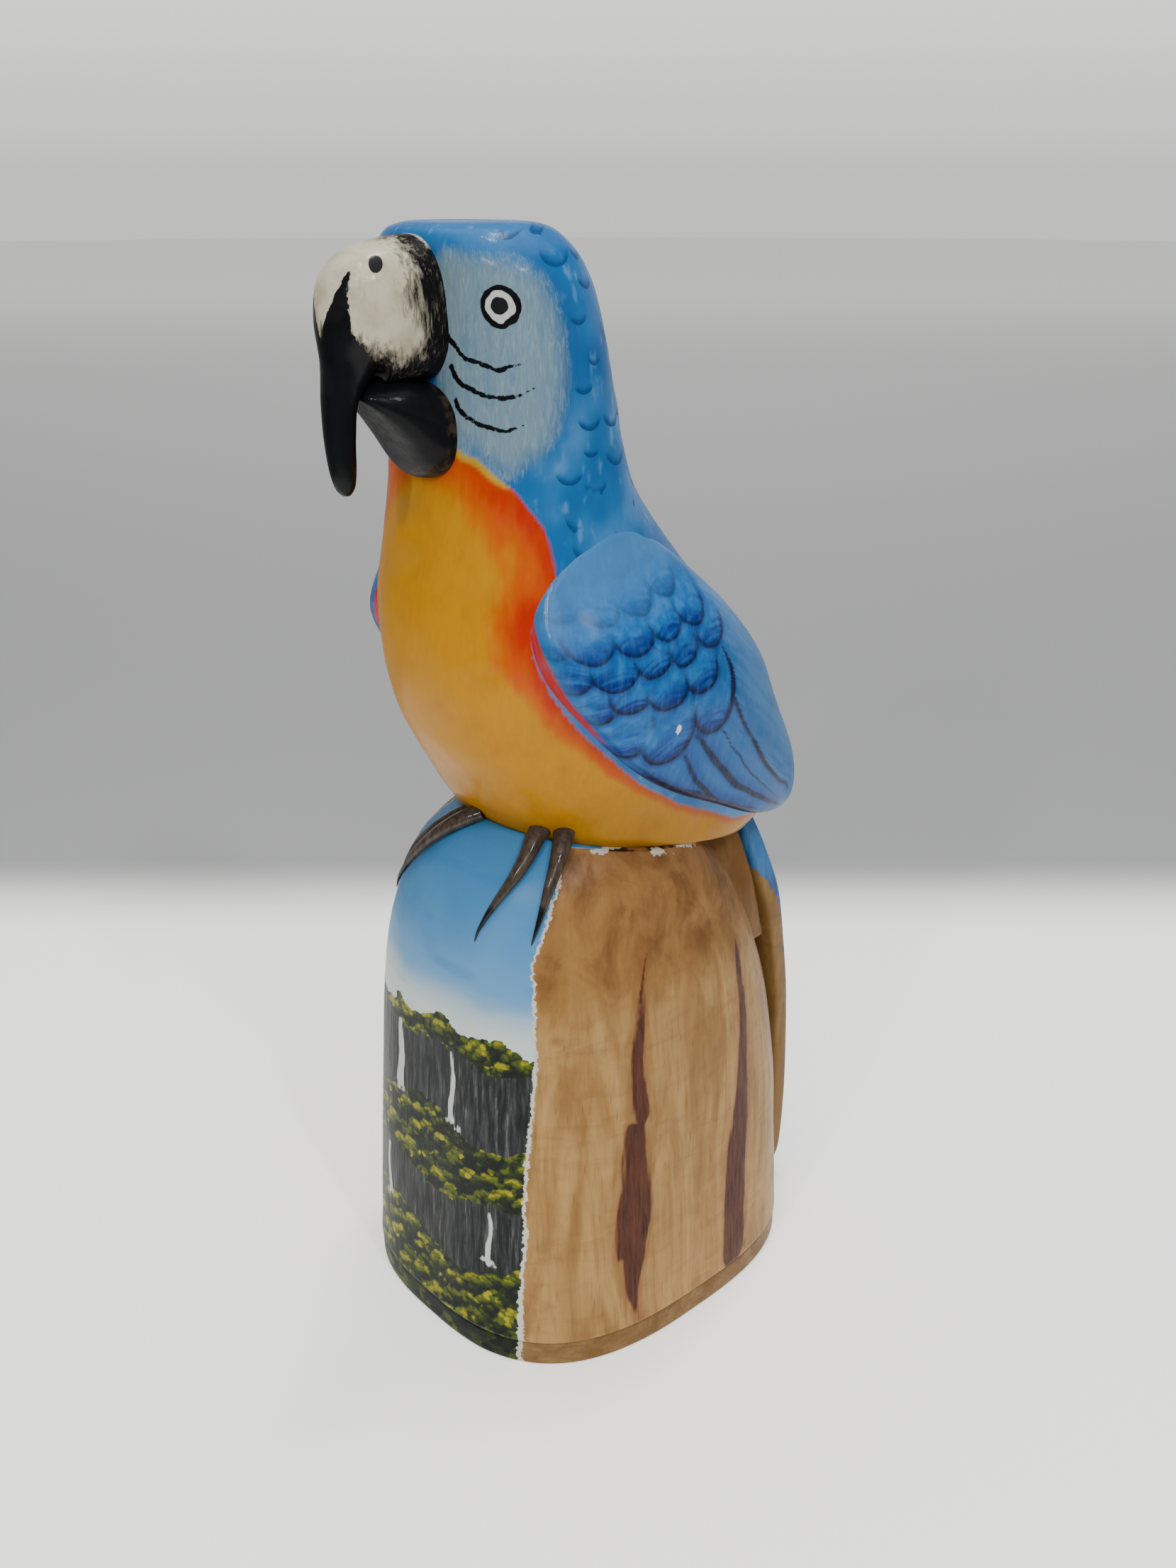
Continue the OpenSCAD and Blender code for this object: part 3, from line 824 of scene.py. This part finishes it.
def blue_paint(name, chipped=False):
    n = Nodes(name)
    colour = n.attribute("paint", True)
    fibre = n.noise((700, 700, 160), detail=4, rough=0.6, warp=0.4)
    colour = n.layers(colour,
        (rgb(108, 150, 190), fibre, 0.4, 0.8, 0.0, 0.14),
        (rgb(10, 40, 110), n.noise(60, detail=2), 0.5, 0.8, 0.0, 0.18))
    if chipped:
        rag = n.ragged(n.attribute("chip"), n.noise(1500, detail=2), 0.2)
        colour = n.layers(colour,
            (rgb(60, 80, 120), rag, 0.25, 0.1), (rgb(222, 220, 212), rag, 0.05, -0.1))
    n.finish(colour, n.ramp(fibre, 0.3, 0.7, 0.38, 0.5), **gloss(n, 7.0, 0.4))
    return n.material


def make_wings():
    skin, outline = wing_mesh()
    flat = skin.points[:, 1:]
    wall = np.arange(len(flat)) < WALL_RINGS * skin.sides
    skin.fields["paint"] = paint_wing(flat, wall, outline)
    d = flat - (-10.2, 184)
    skin.fields["chip"] = np.hypot(d[:, 0] / 0.8, d[:, 1] / 1.3) - 1.0
    skin.points[:, 0] += sway(skin.points, 8, 41, 2) * 0.5 * (skin.points[:, 0] > 30)
    chipped = blue_paint("painted_left_wing", chipped=True)
    build("left_wing_carving", skin, chipped, "left_wing")
    skin.points = skin.points * (-1, 1, 1)
    skin.faces = [face[::-1] for face in skin.faces]
    del skin.fields["chip"]
    plain = blue_paint("painted_right_wing")
    build("right_wing_carving", skin, plain, "right_wing")


# ---- beak

def make_upper_beak():
    skin = loft(upper_beak_sections, 0.5, 170, low_cap=12, high_cap=3)
    x, y, z = skin.points.T
    x = np.abs(x)
    front = x - np.interp(z, [276, 280, 284, 288, 291], [0, 1.3, 3.3, 4.9, 5.5])
    rear = np.interp(z, [268, 271, 274, 278, 283, 286, 291],
                     [-60, -64.5, -68.3, -70.9, -71.5, -71.2, -69.8])
    low = np.interp(y, [-75, -69, -65, -60, -54, -52, -50], [276, 274, 271, 268, 267, 269.5, 272])
    wedge = np.minimum(np.minimum(rear - y, front), 291.3 - z)
    skin.fields["cap"] = np.maximum(wedge, low - z)
    hand = sway(skin.points * (1, 1, 0.35), 1.6, 51) * 7
    rear_smudge = soft(y + hand, np.interp(z, [268, 276, 284, 292], [-60, -58, -62.5, -62]), -52)
    low_smudge = soft(low + np.interp(y, [-70, -62, -55], [5.5, 7, 10]) + hand * 0.8 - z, 0, 6.5)
    smudge = np.clip(rear_smudge * soft(z, 272, 276) + low_smudge, 0, 1)
    top = soft(z, 292, 294) * soft(y, -62, -56)
    smudge = np.maximum(smudge, top * soft(hand, -3.5, 2))
    skin.fields["smudge"] = smudge * (1 - 0.9 * soft(z, 294, 295.5) * soft(y + 0.3 * hand, -51.5, -50.5))
    turn = math.radians(28)
    a = (y + 64.6) * math.cos(turn) + (z - 291.8) * math.sin(turn)
    b = -(y + 64.6) * math.sin(turn) + (z - 291.8) * math.cos(turn)
    oval = ((a + 0.5 * b) / 2.5) ** 2 + ((b - 0.5 * a) / 1.5) ** 2 + ((x - 7.4) / 3) ** 2
    skin.fields["nostril"] = np.sqrt(oval) - 1
    uneven = sway(skin.points, 7, 52, 2) * 0.45 * soft(z, 250, 270)
    skin.points = skin.points + skin.outward() * uneven[:, None]
    build("upper_beak_carving", skin, beak_paint(), "upper_beak")


def beak_paint():
    """Cream paint with black laid over its edges, smudged and worn."""
    n = Nodes("painted_beak")
    cream = n.over(CREAM, rgb(164, 156, 130), n.noise(160, detail=4), 0.35, 0.7)
    fine = n.noise((1300, 1300, 260), detail=5, rough=0.7, warp=0.4)
    colour = n.over(cream, rgb(204, 198, 178), fine, 0.5, 0.8, 0.0, 0.35)
    share = n.ragged(n.attribute("smudge"), fine, 0.3)
    colour = n.layers(colour,
        (rgb(98, 92, 80), share, 0.12, 0.5, 0.0, 0.75), (rgb(15, 14, 14), share, 0.45, 0.95))
    cap = n.ragged(n.attribute("cap"), n.noise(600, detail=2), 0.2)
    worn = n.ramp(n.noise((300, 300, 90), detail=4), 0.62, 0.8, 0.0, 0.3)
    black = n.mix(worn, INK, rgb(34, 30, 26))
    colour = n.layers(colour,
        (black, cap, -0.12, 0.12), (INK, n.attribute("nostril"), 0.06, -0.06))
    n.finish(colour, 0.42, **gloss(n, 4.0, 0.35))
    return n.material


def make_lower_beak():
    skin = loft(lower_beak_sections, 0.5, 150, low_cap=10, high_cap=2)
    y, z = skin.points[:, 1:].T
    skin.fields["worn"] = soft(z, 249.5, 245) + 0.8 * soft(y, -50.6, -49.2)
    n = Nodes("black_beak")
    chips = n.noise(420, detail=5, rough=0.65)
    worn = n.times(n.attribute("worn"), n.ramp(chips, 0.42, 0.62))
    colour = n.over(INK, rgb(22, 22, 24), n.noise(70, detail=3), 0.3, 0.8, 0.0, 0.6)
    colour = n.mix(worn, colour, rgb(62, 48, 34))
    n.finish(colour, n.ramp(chips, 0.3, 0.7, 0.35, 0.55), **gloss(n, 6.0, 0.4, coat=0.1))
    build("lower_beak_carving", skin, n.material, "lower_beak")


# ---- toes

toe_paths = {
    "left_inner_toe": [[18.6, -30, 153.6], [20, -33.4, 151.9], [21.2, -36.8, 149], [21.3, -40.4, 145],
                       [20.2, -43.4, 141], [18, -46.6, 135.4], [15.6, -49, 129.2], [14.8, -49.6, 126]],
    "left_outer_toe": [[23, -25.6, 153.6], [25, -28, 152.1], [26.8, -30.6, 149.9], [28.3, -33.4, 146.8],
                       [29.3, -36.4, 142.6], [29.6, -39, 137], [29.5, -41.2, 131.6], [28.8, -42.2, 127.6]],
    "right_inner_toe": [[-0.4, -34.4, 153.6], [-2.8, -37.4, 152.1], [-5.6, -40.4, 150], [-9, -42.8, 147],
                        [-13, -44.7, 142.8], [-18, -46, 136.9], [-23, -46.2, 130.4], [-26.2, -45.4, 125.4]],
    "right_outer_toe": [[-7, -32, 151.4], [-9.8, -34.8, 149.5], [-13, -37.4, 147],
                        [-16.8, -39.8, 143.5], [-20.8, -41.6, 138.8], [-24.4, -42.6, 133],
                        [-27.2, -42.6, 127.8], [-28.8, -42.2, 124]],
}
toe_profile = [[2.16, 3], [2.16, 3], [2.16, 2.85], [2.1, 2.64],
               [1.98, 2.4], [1.68, 1.98], [1.02, 1.2], [0.18, 0.18]]


def toe_skin(path):
    """A toe swept along its path, with a carved ridge along its top."""
    middle = evenly(smooth(path, 12), 0.3)
    sizes = evenly(smooth(toe_profile, 12), 0.01)
    at = np.linspace(0, 1, len(middle))
    high, wide = read_off(at, np.linspace(0, 1, len(sizes)), sizes).T
    turn = turns(72)
    rings = []
    for i, place in enumerate(middle):
        ahead = Vector(middle[min(i + 3, len(middle) - 1)] - middle[max(i - 3, 0)]).normalized()
        side = Vector((0, 0, 1)).cross(ahead).normalized()
        up = ahead.cross(side)
        upper = np.sin(turn) > 0
        u = wide[i] * squared(np.cos(turn), np.where(upper, 2.0, 2.4))
        v = high[i] * squared(np.sin(turn), np.where(upper, 1.75, 2.6))
        rings.append(place + np.outer(u, side) + np.outer(v, up))
    return Skin(rings, low_cap=6, high_cap=2), at


def make_toes():
    n = Nodes("painted_toe")
    streak = n.noise((600, 600, 200), detail=5, rough=0.65)
    brown = n.over(rgb(46, 37, 31), rgb(76, 65, 55), streak, 0.3, 0.7)
    nail = n.ragged(n.attribute("nail"), streak, 0.12)
    colour = n.over(brown, rgb(10, 10, 10), nail, 0.4, 0.6)
    n.finish(colour, 0.4, **gloss(n, 3.0, 0.4, coat=0.4, coat_rough=0.05))
    for name, path in toe_paths.items():
        skin, at = toe_skin(path)
        ahead = np.repeat(np.r_[np.zeros(5), at, [1.0]], skin.sides)
        skin.fields["nail"] = soft(ahead, 0.5, 0.86)
        build(name + "_carving", skin, n.material, name)


# ---- bare wood

def bare_wood(n, grain_along=(1, 1, 0.07), tint=1.0, turn=(0, 0, 0)):
    """Pale figured wood: fine fibres, wide curly bands and small pores, as colour and height."""
    fibre = n.noise(tuple(900 * k for k in grain_along), detail=6, rough=0.7, warp=0.25, turn=turn)
    figure = n.noise(tuple(85 * (k + 0.12) for k in grain_along), detail=3, warp=1.4, turn=turn)
    rays = n.noise((60, 60, 190), detail=4, rough=0.6, warp=0.8)
    pores = n.cells(tuple(520 * (k + 0.05) for k in grain_along))

    def wood(*levels):
        return rgb(*(tint * level for level in levels))

    colour = n.layers(wood(166, 130, 78),
        (wood(132, 96, 50), figure, 0.3, 0.7), (wood(118, 80, 40), rays, 0.45, 0.75, 0.0, 0.4),
        (wood(96, 62, 30), fibre, 0.48, 0.74, 0.0, 0.42), (wood(78, 48, 26), pores, 0.16, 0.05, 0.0, 0.4))
    return colour, fibre


def waxed(n, colour, fibre, relief, rough, coat_rough):
    """A thin dull coat over wood, with its fibres in relief."""
    grain = n.bump(fibre, *relief)
    n.finish(colour, n.ramp(fibre, 0.3, 0.7, *rough), grain,
             coat=0.12, coat_rough=coat_rough, coat_normal=grain)


# ---- stump with its painted front

def stump_top(y):
    return 144.7 - 0.2 * y


def bushes(place):
    """Rounded treetops in overlapping rows, each bright on top and dark below."""
    light = np.zeros(len(place))
    for k, height in enumerate(np.arange(98, -4, -4.6)):
        size = np.interp(height, [0, 98], [4.6, 3.2])
        for c in range(-9, 10):
            centre = c * size * 1.9 + size * (k % 2) + 1.3 * math.sin(5.1 * c + 2.3 * k)
            lift = 1.5 * math.sin(3.7 * c + 1.9 * k)
            d = place - (centre, height + lift)
            inside = soft(np.hypot(d[:, 0] / size, d[:, 1] / (size * 0.9)), 1.08, 0.96)
            tone = 0.62 + 0.3 * math.sin(7.3 * c + 4.1 * k)
            top = np.clip(0.08 + tone * soft(d[:, 1] / size - 0.25 * d[:, 0] / size, -0.35, 0.85), 0, 1)
            light += inside * (top - light)
    return light


def leaves_paint(n, size, colour, tones):
    """Dabs of leaf paint over the colour, with how bright each is and a second number for it."""
    split = n.add("SeparateColor", {0: n.cells(size, "Color")})
    pick = n.ramp(split[0], 0, 1, -0.28, 0.28, smooth=False)
    bright = n.plus(n.attribute("light"), pick)
    for low, high, tone in tones:
        colour = n.over(colour, tone, bright, low, high)
    return colour, bright, split[1]


def landscape(place, wave, small):
    """Sky, treetops, rock faces and falls, as what is painted at each place of the stump's front."""
    s, z = place.T
    sky = blend(soft(z + 14 * wave, 142, 112), paint(62, 122, 170), paint(94, 146, 188))
    sky = blend(soft(z + 4 * wave, 114, 101), sky, paint(186, 198, 194))
    streaks = soft(cloud(place * (0.3, 1), 5, 66), 0.5, 0.8) * (z > 104)
    sky = blend(0.35 * streaks, sky, paint(48, 106, 156))

    # far ridge of treetops
    ridge = 98.0 + 3.4 * soft(s, 2, 20) + 4 * small
    ridge = ridge + 2.0 * np.sin(s * 0.11 + 1.3) + 1.6 * np.sin(s * 0.31)
    cliff_top = 92.0 + 1.6 * np.sin(s * 0.16 + 0.6) + 3 * small
    foot = 69.5 + 3.4 * np.sin(s * 0.12 + 2.0) + 3 * small
    lower_top = 47.5 + 2.6 * np.sin(s * 0.14 + 4.2) + 3 * small
    lower_foot = 29.0 + 4.2 * np.sin(s * 0.10 + 3.4) + 3 * small
    land = soft(ridge - z, -0.2, 0.3)
    rock = soft(cliff_top - z, -0.4, 0.6) * soft(z - foot, -0.4, 0.6) \
        + soft(lower_top - z, -0.4, 0.6) * soft(z - lower_foot, -0.4, 0.6)
    light = bushes(place + np.c_[2 * small, 2 * small]) + 0.1 + 0.25 * soft(ridge - z, 7, 1)
    # two falls of water, each in an upper and a lower step, with mist at their feet
    falls = np.zeros(len(s))
    for centre, half, high, lowest in ((10.0, 0.9, 92.5, 69.5), (-14.0, 1.7, 92, 70),
                                       (24.5, 0.7, 47.5, 31), (-22.0, 1.2, 47, 29)):
        drift = centre + 0.5 * np.sin(z * 0.35 + centre)
        grow = half * (0.75 + 0.5 * soft(z, high, lowest))
        falls = np.maximum(falls, soft(grow - np.abs(s - drift), -0.5, 0.7) * soft(high - z, -1, 1)
                           * soft(z - lowest, -1.0, 1.5))
        mist = soft(np.hypot((s - drift) / 2.6, (z - lowest) / 1.0), 2.6, 0.4)
        falls = np.maximum(falls, 0.75 * mist * soft(cloud(place, 2.4, 71), 0.3, 0.6))
    return dict(paint=sky, land=land, rock=np.clip(rock, 0, 1), light=np.clip(light, 0, 1), falls=falls)


def make_stump():
    skin = loft(stump_sections, 0.8, 430, low_cap=2, high_cap=24)
    p = skin.points
    s = skin.round_lengths()
    top = p[:, 2] > stump_top(p[:, 1]) - 0.4
    flat = np.c_[np.abs(s), p[:, 2]]
    jag = sway(flat * (0.2, 1), 5, 61) * 1.6 + sway(flat * (0.3, 1), 1.4, 62) * 1.2
    edge_spots = [(33, -53, 4), (33, -53, 14), (33, -51, 36), (33, -50, 48), (33, -49, 64),
                  (34, -48, 80), (33, -46, 99), (32, -45, 113), (30, -43, 122), (30, -40, 131),
                  (29, -34, 142), (25, -27, 150)]

    def marked(line):
        marks = on_skin(skin, flat, line)
        marks[:, 1] = [spot[2] for spot in line]
        return marks

    marks = marked(edge_spots)
    edge = np.interp(p[:, 2], marks[:, 1], marks[:, 0])
    painted = edge + jag - np.abs(s)
    # on the flat top, where round lengths shrink, the front stays painted
    painted = np.where(top, np.minimum(-18 - p[:, 1], 30 - np.abs(p[:, 0])) + jag, painted)
    skin.fields["painted"] = painted
    skin.fields["primer"] = np.interp(p[:, 2], [0, 20, 60, 110, 150], [1.9, 1.4, 1.0, 0.8, 1.0]) \
        * (0.35 + 1.3 * cloud(flat * (0.4, 1), 6, 63))

    z = p[:, 2]
    place = np.c_[s, z]
    wave = sway(place, 15, 64, 2)
    small = sway(place, 3.2, 65)
    skin.fields.update(landscape(place, wave, small))

    # heartwood flames and the darker, handled wood under the bird
    def flame(line, widths):
        near, along = to_line(flat, smooth(marked(line), 5))
        return np.interp(along, np.linspace(0, 1, len(widths)), widths) - near

    streaky = sway(flat * (1, 0.09), 1.3, 72) * 3.0
    flames = [flame(*each) for each in (
        ([(44, -15, 121), (46, -20, 106), (47, -21, 94), (48, -21, 76)], [0.2, 1.1, 2.0, 2.6]),
        ([(48, -23, 72), (49, -23, 52), (50, -24, 36), (50, -24, 20), (50, -23, 9)],
         [2.8, 4.4, 5.2, 2.8, 0.4]),
        ([(48, -25, 60), (49, -27, 46), (49, -27, 33)], [0.4, 2.4, 2.6]),
        ([(46, 21, 112), (46, 20, 100), (48, 19, 76), (50, 18, 52), (51, 17, 32), (51, 16, 12)],
         [0.5, 1.6, 2.6, 4.2, 5.2, 5.2]),
        ([(44, 44, 104), (44, 46, 70), (45, 47, 40)], [0.1, 1.4, 0.2]))]
    skin.fields["heart"] = np.maximum.reduce(flames) + streaky
    knot = soft(np.hypot(p[:, 1] + 41, z - 103), 2.2, 0.6) * 0.9
    skin.fields["stain"] = np.maximum(soft(z + 18 * wave + 6 * small, 103, 127), knot)
    # under the body: the stump's top is painted dark brown, which also stands in for the shade of the
    # chisel gap there, with dabs of white filler
    up = stump_top(p[:, 1]) - z
    rim = soft(up, 2.6, 0.4)
    dabs = cloud(p, 5.5, 74)
    skin.fields["gap"] = np.where(top, soft(cloud(p, 6, 76), 0.35, 0.6), 0.0)
    skin.fields["filler"] = rim * soft(dabs, 0.56, 0.66) * (painted < 0)

    middle = np.array([0, -2.0])
    out = p[:, :2] - middle
    out /= np.maximum(np.linalg.norm(out, axis=1), 1e-6)[:, None]
    uneven = sway(p * (1, 1, 0.5), 16, 75, 2) * 0.9 * soft(z, 8, 14) * ~top
    skin.points[:, :2] += out * uneven[:, None]
    blunt = np.where(top, sway(p, 4, 77, 2) * 0.9, 0)
    skin.points[:, 2] += np.minimum(blunt, 0)
    build("stump_carving", skin, stump_paint(), "stump")


def stump_paint():
    """The painted landscape, its ragged edge of primer and the bare wood beside it."""
    n = Nodes("painted_stump")
    dab_size = (480, 480, 620)
    body = n.cells(dab_size)
    leaves, bright, other = leaves_paint(n, dab_size, rgb(10, 18, 14), (
        (0.05, 0.4, rgb(30, 40, 14)), (0.35, 0.7, rgb(76, 88, 12)), (0.72, 1.0, rgb(138, 132, 12))))
    spark = n.times(n.ramp(other, 0.9, 0.93), n.ramp(bright, 0.35, 0.6))
    leaves = n.mix(spark, leaves, rgb(152, 142, 18))
    leaves = n.over(leaves, rgb(8, 14, 12), body, 0.45, 0.95, 0.0, 0.85)
    # rock faces: hanging streaks of grey and white over near black
    strands = n.noise((820, 820, 60), detail=5, rough=0.7)
    wide = n.noise((170, 170, 50), detail=2)
    rock = n.over(rgb(15, 18, 20), rgb(58, 61, 60), strands, 0.38, 0.68)
    pale = n.times(n.ramp(strands, 0.55, 0.75), n.ramp(wide, 0.42, 0.66))
    rock = n.mix(n.times(pale, 0.7), rock, rgb(138, 141, 137))
    rough_edge = n.ragged(n.attribute("rock"), strands, 0.35)
    land = n.over(leaves, rock, rough_edge, 0.35, 0.65)
    water = n.plus(n.attribute("falls"), n.ramp(strands, 0.3, 0.7, -0.3, 0.2))
    land = n.over(land, rgb(188, 190, 186), water, 0.3, 0.6)
    ragged = n.plus(n.attribute("land"), n.ramp(body, 0.0, 0.9, 0.3, -0.3))
    art = n.over(n.attribute("paint", True), land, ragged, 0.42, 0.58)

    wood, fibre = bare_wood(n)
    blot = n.noise((70, 70, 45), detail=5, rough=0.65, warp=0.5)
    stain = n.times(n.attribute("stain"), n.ramp(blot, 0.25, 0.6, 0.55, 1.0))
    wood = n.mix(stain, wood, n.over(rgb(142, 102, 58), rgb(98, 64, 34), blot, 0.35, 0.7))
    heart = n.ramp(n.attribute("heart"), -0.5, 0.5)
    dark_grain = n.over(rgb(84, 42, 24), rgb(46, 20, 12), fibre, 0.35, 0.7)
    wood = n.over(wood, rgb(120, 76, 42), n.attribute("heart"), -2.6, -0.2, 0.0, 0.4)
    wood = n.mix(heart, wood, dark_grain)
    # dark brown on the top under the body: brown paint that also stands in for the shade of the chisel gap
    wood = n.over(wood, rgb(38, 26, 20), n.attribute("gap"), 0.2, 0.8)
    rag = n.noise(900, detail=3)
    filler = n.ragged(n.attribute("filler"), rag, 0.3)
    wood = n.over(wood, rgb(182, 178, 166), filler, 0.4, 0.6)

    side = n.ragged(n.attribute("painted"), rag, 0.35)
    primer = n.plus(side, n.attribute("primer"))
    colour = n.over(wood, rgb(190, 188, 178), primer, -0.15, 0.15)
    colour = n.over(colour, art, side, -0.15, 0.15)
    rough = n.ramp(fibre, 0.3, 0.7, 0.42, 0.6)
    grain = n.bump(fibre, 0.3, 0.0004)
    thick = n.bump(n.ramp(side, -0.3, 0.3), 0.35, 0.0003, grain)
    wave = n.bump(n.noise(180, detail=1), 0.5, 0.00018, thick)
    wave = n.bump(n.noise(900, detail=3), 0.5, 0.00003, wave)
    n.finish(colour, rough, thick, coat=0.17, coat_rough=0.05, coat_normal=wave)
    return n.material


tail_back = [[51, 134.5], [54.4, 122], [58.6, 108], [62, 92], [66, 70], [68.2, 45], [68.6, 25], [67.2, 3.6]]
tail_front = [[43.5, 136], [46.6, 120], [50.2, 106], [54.4, 92],
              [58.4, 70], [60.4, 45], [61.2, 25], [61.6, 4.8]]
tail_outline = [[20, 138], [24.5, 127], [27.5, 112], [27, 90], [26, 60], [25.5, 30], [25, 11], [22.5, 3]]


def at_height(curve, z):
    return np.interp(-z, -curve[:, 1], curve[:, 0])


def make_shoulder():
    """The part of the stump that reaches back to the tail."""
    back = smooth(tail_front, 20)
    wide = smooth(tail_outline, 20)
    rings = []
    turn = turns(240)
    for z in np.linspace(97, 138, 58):
        y0, y1 = 20.0, at_height(back, z) - 0.05
        half = at_height(wide, z)
        across = half * squared(np.cos(turn), 9)
        y = (y0 + y1) / 2 + (y1 - y0) / 2 * squared(np.sin(turn), 9)
        rings.append(np.stack([across, y, np.minimum(z, stump_top(y))], 1))
    skin = Skin(rings, low_cap=10, high_cap=10)
    p = skin.points
    skin.points[:, 0] += sway(p, 9, 81, 2) * 0.8
    n = Nodes("shoulder_wood")
    wood, fibre = bare_wood(n, tint=0.86)
    blot = n.noise((60, 60, 40), detail=5, rough=0.65, warp=0.5)
    colour = n.over(wood, rgb(104, 70, 38), blot, 0.3, 0.65, 0.35, 0.9)
    waxed(n, colour, fibre, (0.4, 0.0005), (0.45, 0.62), 0.15)
    build("stump_shoulder", skin, n.material, "stump")


def make_tail():
    """The long tail blade: painted back, bare wood on its sides and towards the stump."""
    back = evenly(smooth(tail_back, 20), 0.8)
    at = np.linspace(0, 1, len(back))
    ahead = evenly(smooth(tail_front, 20), 0.8)
    front = read_off(at, np.linspace(0, 1, len(ahead)), ahead)
    wide = smooth(tail_outline, 20)
    turn = turns(220, -math.pi / 2)
    rings = []
    depths = []
    for b, f in zip(back, front):
        middle, reach = (b + f) / 2, (b - f) / 2
        half = at_height(wide, middle[1])
        across = half * squared(np.cos(turn), 7)
        along = squared(np.sin(turn), 5)
        rings.append(np.stack([across, middle[0] + along * reach[0], middle[1] + along * reach[1]], 1))
        depths.append(along)
    skin = Skin(rings, low_cap=5, high_cap=5)
    skin.faces = [face[::-1] for face in skin.faces]
    depth = np.concatenate([np.zeros(4 * len(turn))] + depths + [np.zeros(4 * len(turn))])
    p = skin.points
    z = p[:, 2]
    jag = sway(p * (1, 1, 0.25), 2.4, 91) * 0.9
    cover = np.interp(z, [0, 90, 108, 118, 124], [0.62, 0.5, 0.25, -0.7, -1.5])
    skin.fields["painted"] = depth + jag * 0.5 - cover
    streaks = cloud(p * (1, 1, 0.1), 2.2, 92)
    colour = blend(soft(streaks, 0.3, 0.7), paint(34, 86, 140), paint(60, 108, 156))
    shaft = np.abs(p[:, 0])
    for line, half in ((0, 0.7), (9, 0.5), (17.5, 0.5)):
        lines = np.abs(shaft - line - (118 - z) * 0.012)
        colour = layered(colour,
            (0.8 * soft(half + 0.4 - lines, 0, 0.5), NAVY), (0.45 * soft(lines, 4, 0.5), DEEP_BLUE))
    colour = layered(colour,
        (0.6 * soft(shaft, 24, 26.5) * soft(z, 120, 112), paint(44, 40, 92)),
        (soft(z, 26, 6) * 0.5, DEEP_BLUE))
    skin.fields["paint"] = colour
    n = Nodes("painted_tail")
    wood, fibre = bare_wood(n, tint=0.84)
    wood = n.over(wood, rgb(118, 86, 44), n.noise((90, 90, 30), detail=4), 0.4, 0.7, 0.1, 0.7)
    rag = n.noise((900, 900, 300), detail=3)
    side = n.ragged(n.attribute("painted"), rag, 0.14)
    brush = n.over(n.attribute("paint", True), rgb(108, 150, 190), fibre, 0.45, 0.8, 0.0, 0.25)
    colour = n.over(wood, brush, side, -0.05, 0.05)
    n.finish(colour, n.ramp(fibre, 0.3, 0.7, 0.4, 0.58), **gloss(n, 7.0, 0.35, coat=0.18, coat_rough=0.05))
    build("tail_carving", skin, n.material, "tail")


# ---- base board

def make_board():
    first = stump_sections[0]
    rows = []
    for z, inset in ((0, 0.7), (0.35, 0.25), (0.9, 0.05), (2, 0), (4, 0), (6, 0),
                     (7.2, 0.05), (7.7, 0.3), (7.95, 0.9)):
        rows.append([first[0], z, 0, first[3] - inset, first[4] - inset, first[5], 0])
    fine = evenly(np.array(rows, float), 0.25, [1, 3, 4])
    skin = Skin([ring(row, 460) for row in fine], low_cap=3, high_cap=3)
    p = skin.points
    s = skin.round_lengths()
    jag = sway(np.c_[s, p[:, 2]], 2.0, 95) * 1.6
    edge = on_skin(skin, np.c_[np.abs(s), p[:, 2]], [(33, -53, 4)])[0][0]
    skin.fields["painted"] = edge + jag - np.abs(s)
    skin.fields["light"] = 0.5 * cloud(np.c_[s, p[:, 2]], 7, 96)
    out = p[:, :2] / np.maximum(np.linalg.norm(p[:, :2], axis=1), 1e-6)[:, None]
    skin.points[:, :2] -= out * (0.5 * cloud(p, 18, 97, 2))[:, None]
    n = Nodes("board_wood")
    wood, fibre = bare_wood(n, grain_along=(0.09, 1.0, 1.0), tint=0.8, turn=(0.0, 0.12, 0.5))
    saw = n.noise((120, 120, 900), detail=3, turn=(0.0, 0.5, 0.4))
    wood = n.over(wood, rgb(104, 70, 38), saw, 0.45, 0.7, 0.0, 0.5)
    leaves, _, _ = leaves_paint(n, (330, 330, 420), rgb(8, 14, 12), (
        (0.1, 0.35, rgb(26, 36, 16)), (0.35, 0.6, rgb(66, 76, 16))))
    rag = n.noise(900, detail=3)
    side = n.ragged(n.attribute("painted"), rag, 0.35)
    colour = n.over(wood, rgb(182, 178, 166), side, -1.6, -1.3)
    colour = n.over(colour, leaves, side, -0.15, 0.15)
    waxed(n, colour, fibre, (0.35, 0.0004), (0.42, 0.6), 0.14)
    build("base_board_wood", skin, n.material, "base_board")


# ---- hidden fixings

def finish_dowels():
    n = Nodes("dowel_beech")
    wood, fibre = bare_wood(n, grain_along=(1, 0.1, 0.1))
    n.finish(wood, 0.6, n.bump(fibre, 0.3, 0.0003))
    for name in ("body_dowels", "beak_dowels", "wing_dowels", "tail_dowels"):
        dress(nodes[name], n.material)


def finish_screws():
    n = Nodes("zinc_screw")
    brushed = n.noise((900, 900, 200), detail=4)
    colour = n.over(rgb(168, 170, 172), rgb(206, 206, 202), brushed, 0.3, 0.7)
    n.finish(colour, n.ramp(brushed, 0.3, 0.7, 0.25, 0.45), n.bump(brushed, 0.2, 0.0002), metal=1.0)
    dress(nodes["base_screws"], n.material)


def dress(obj, material):
    obj.data.materials.clear()
    obj.data.materials.append(material)


for make in (make_floor, make_backdrop, make_body, make_wings, make_upper_beak, make_lower_beak,
             make_toes, make_stump, make_shoulder, make_tail, make_board, finish_dowels, finish_screws):
    make()
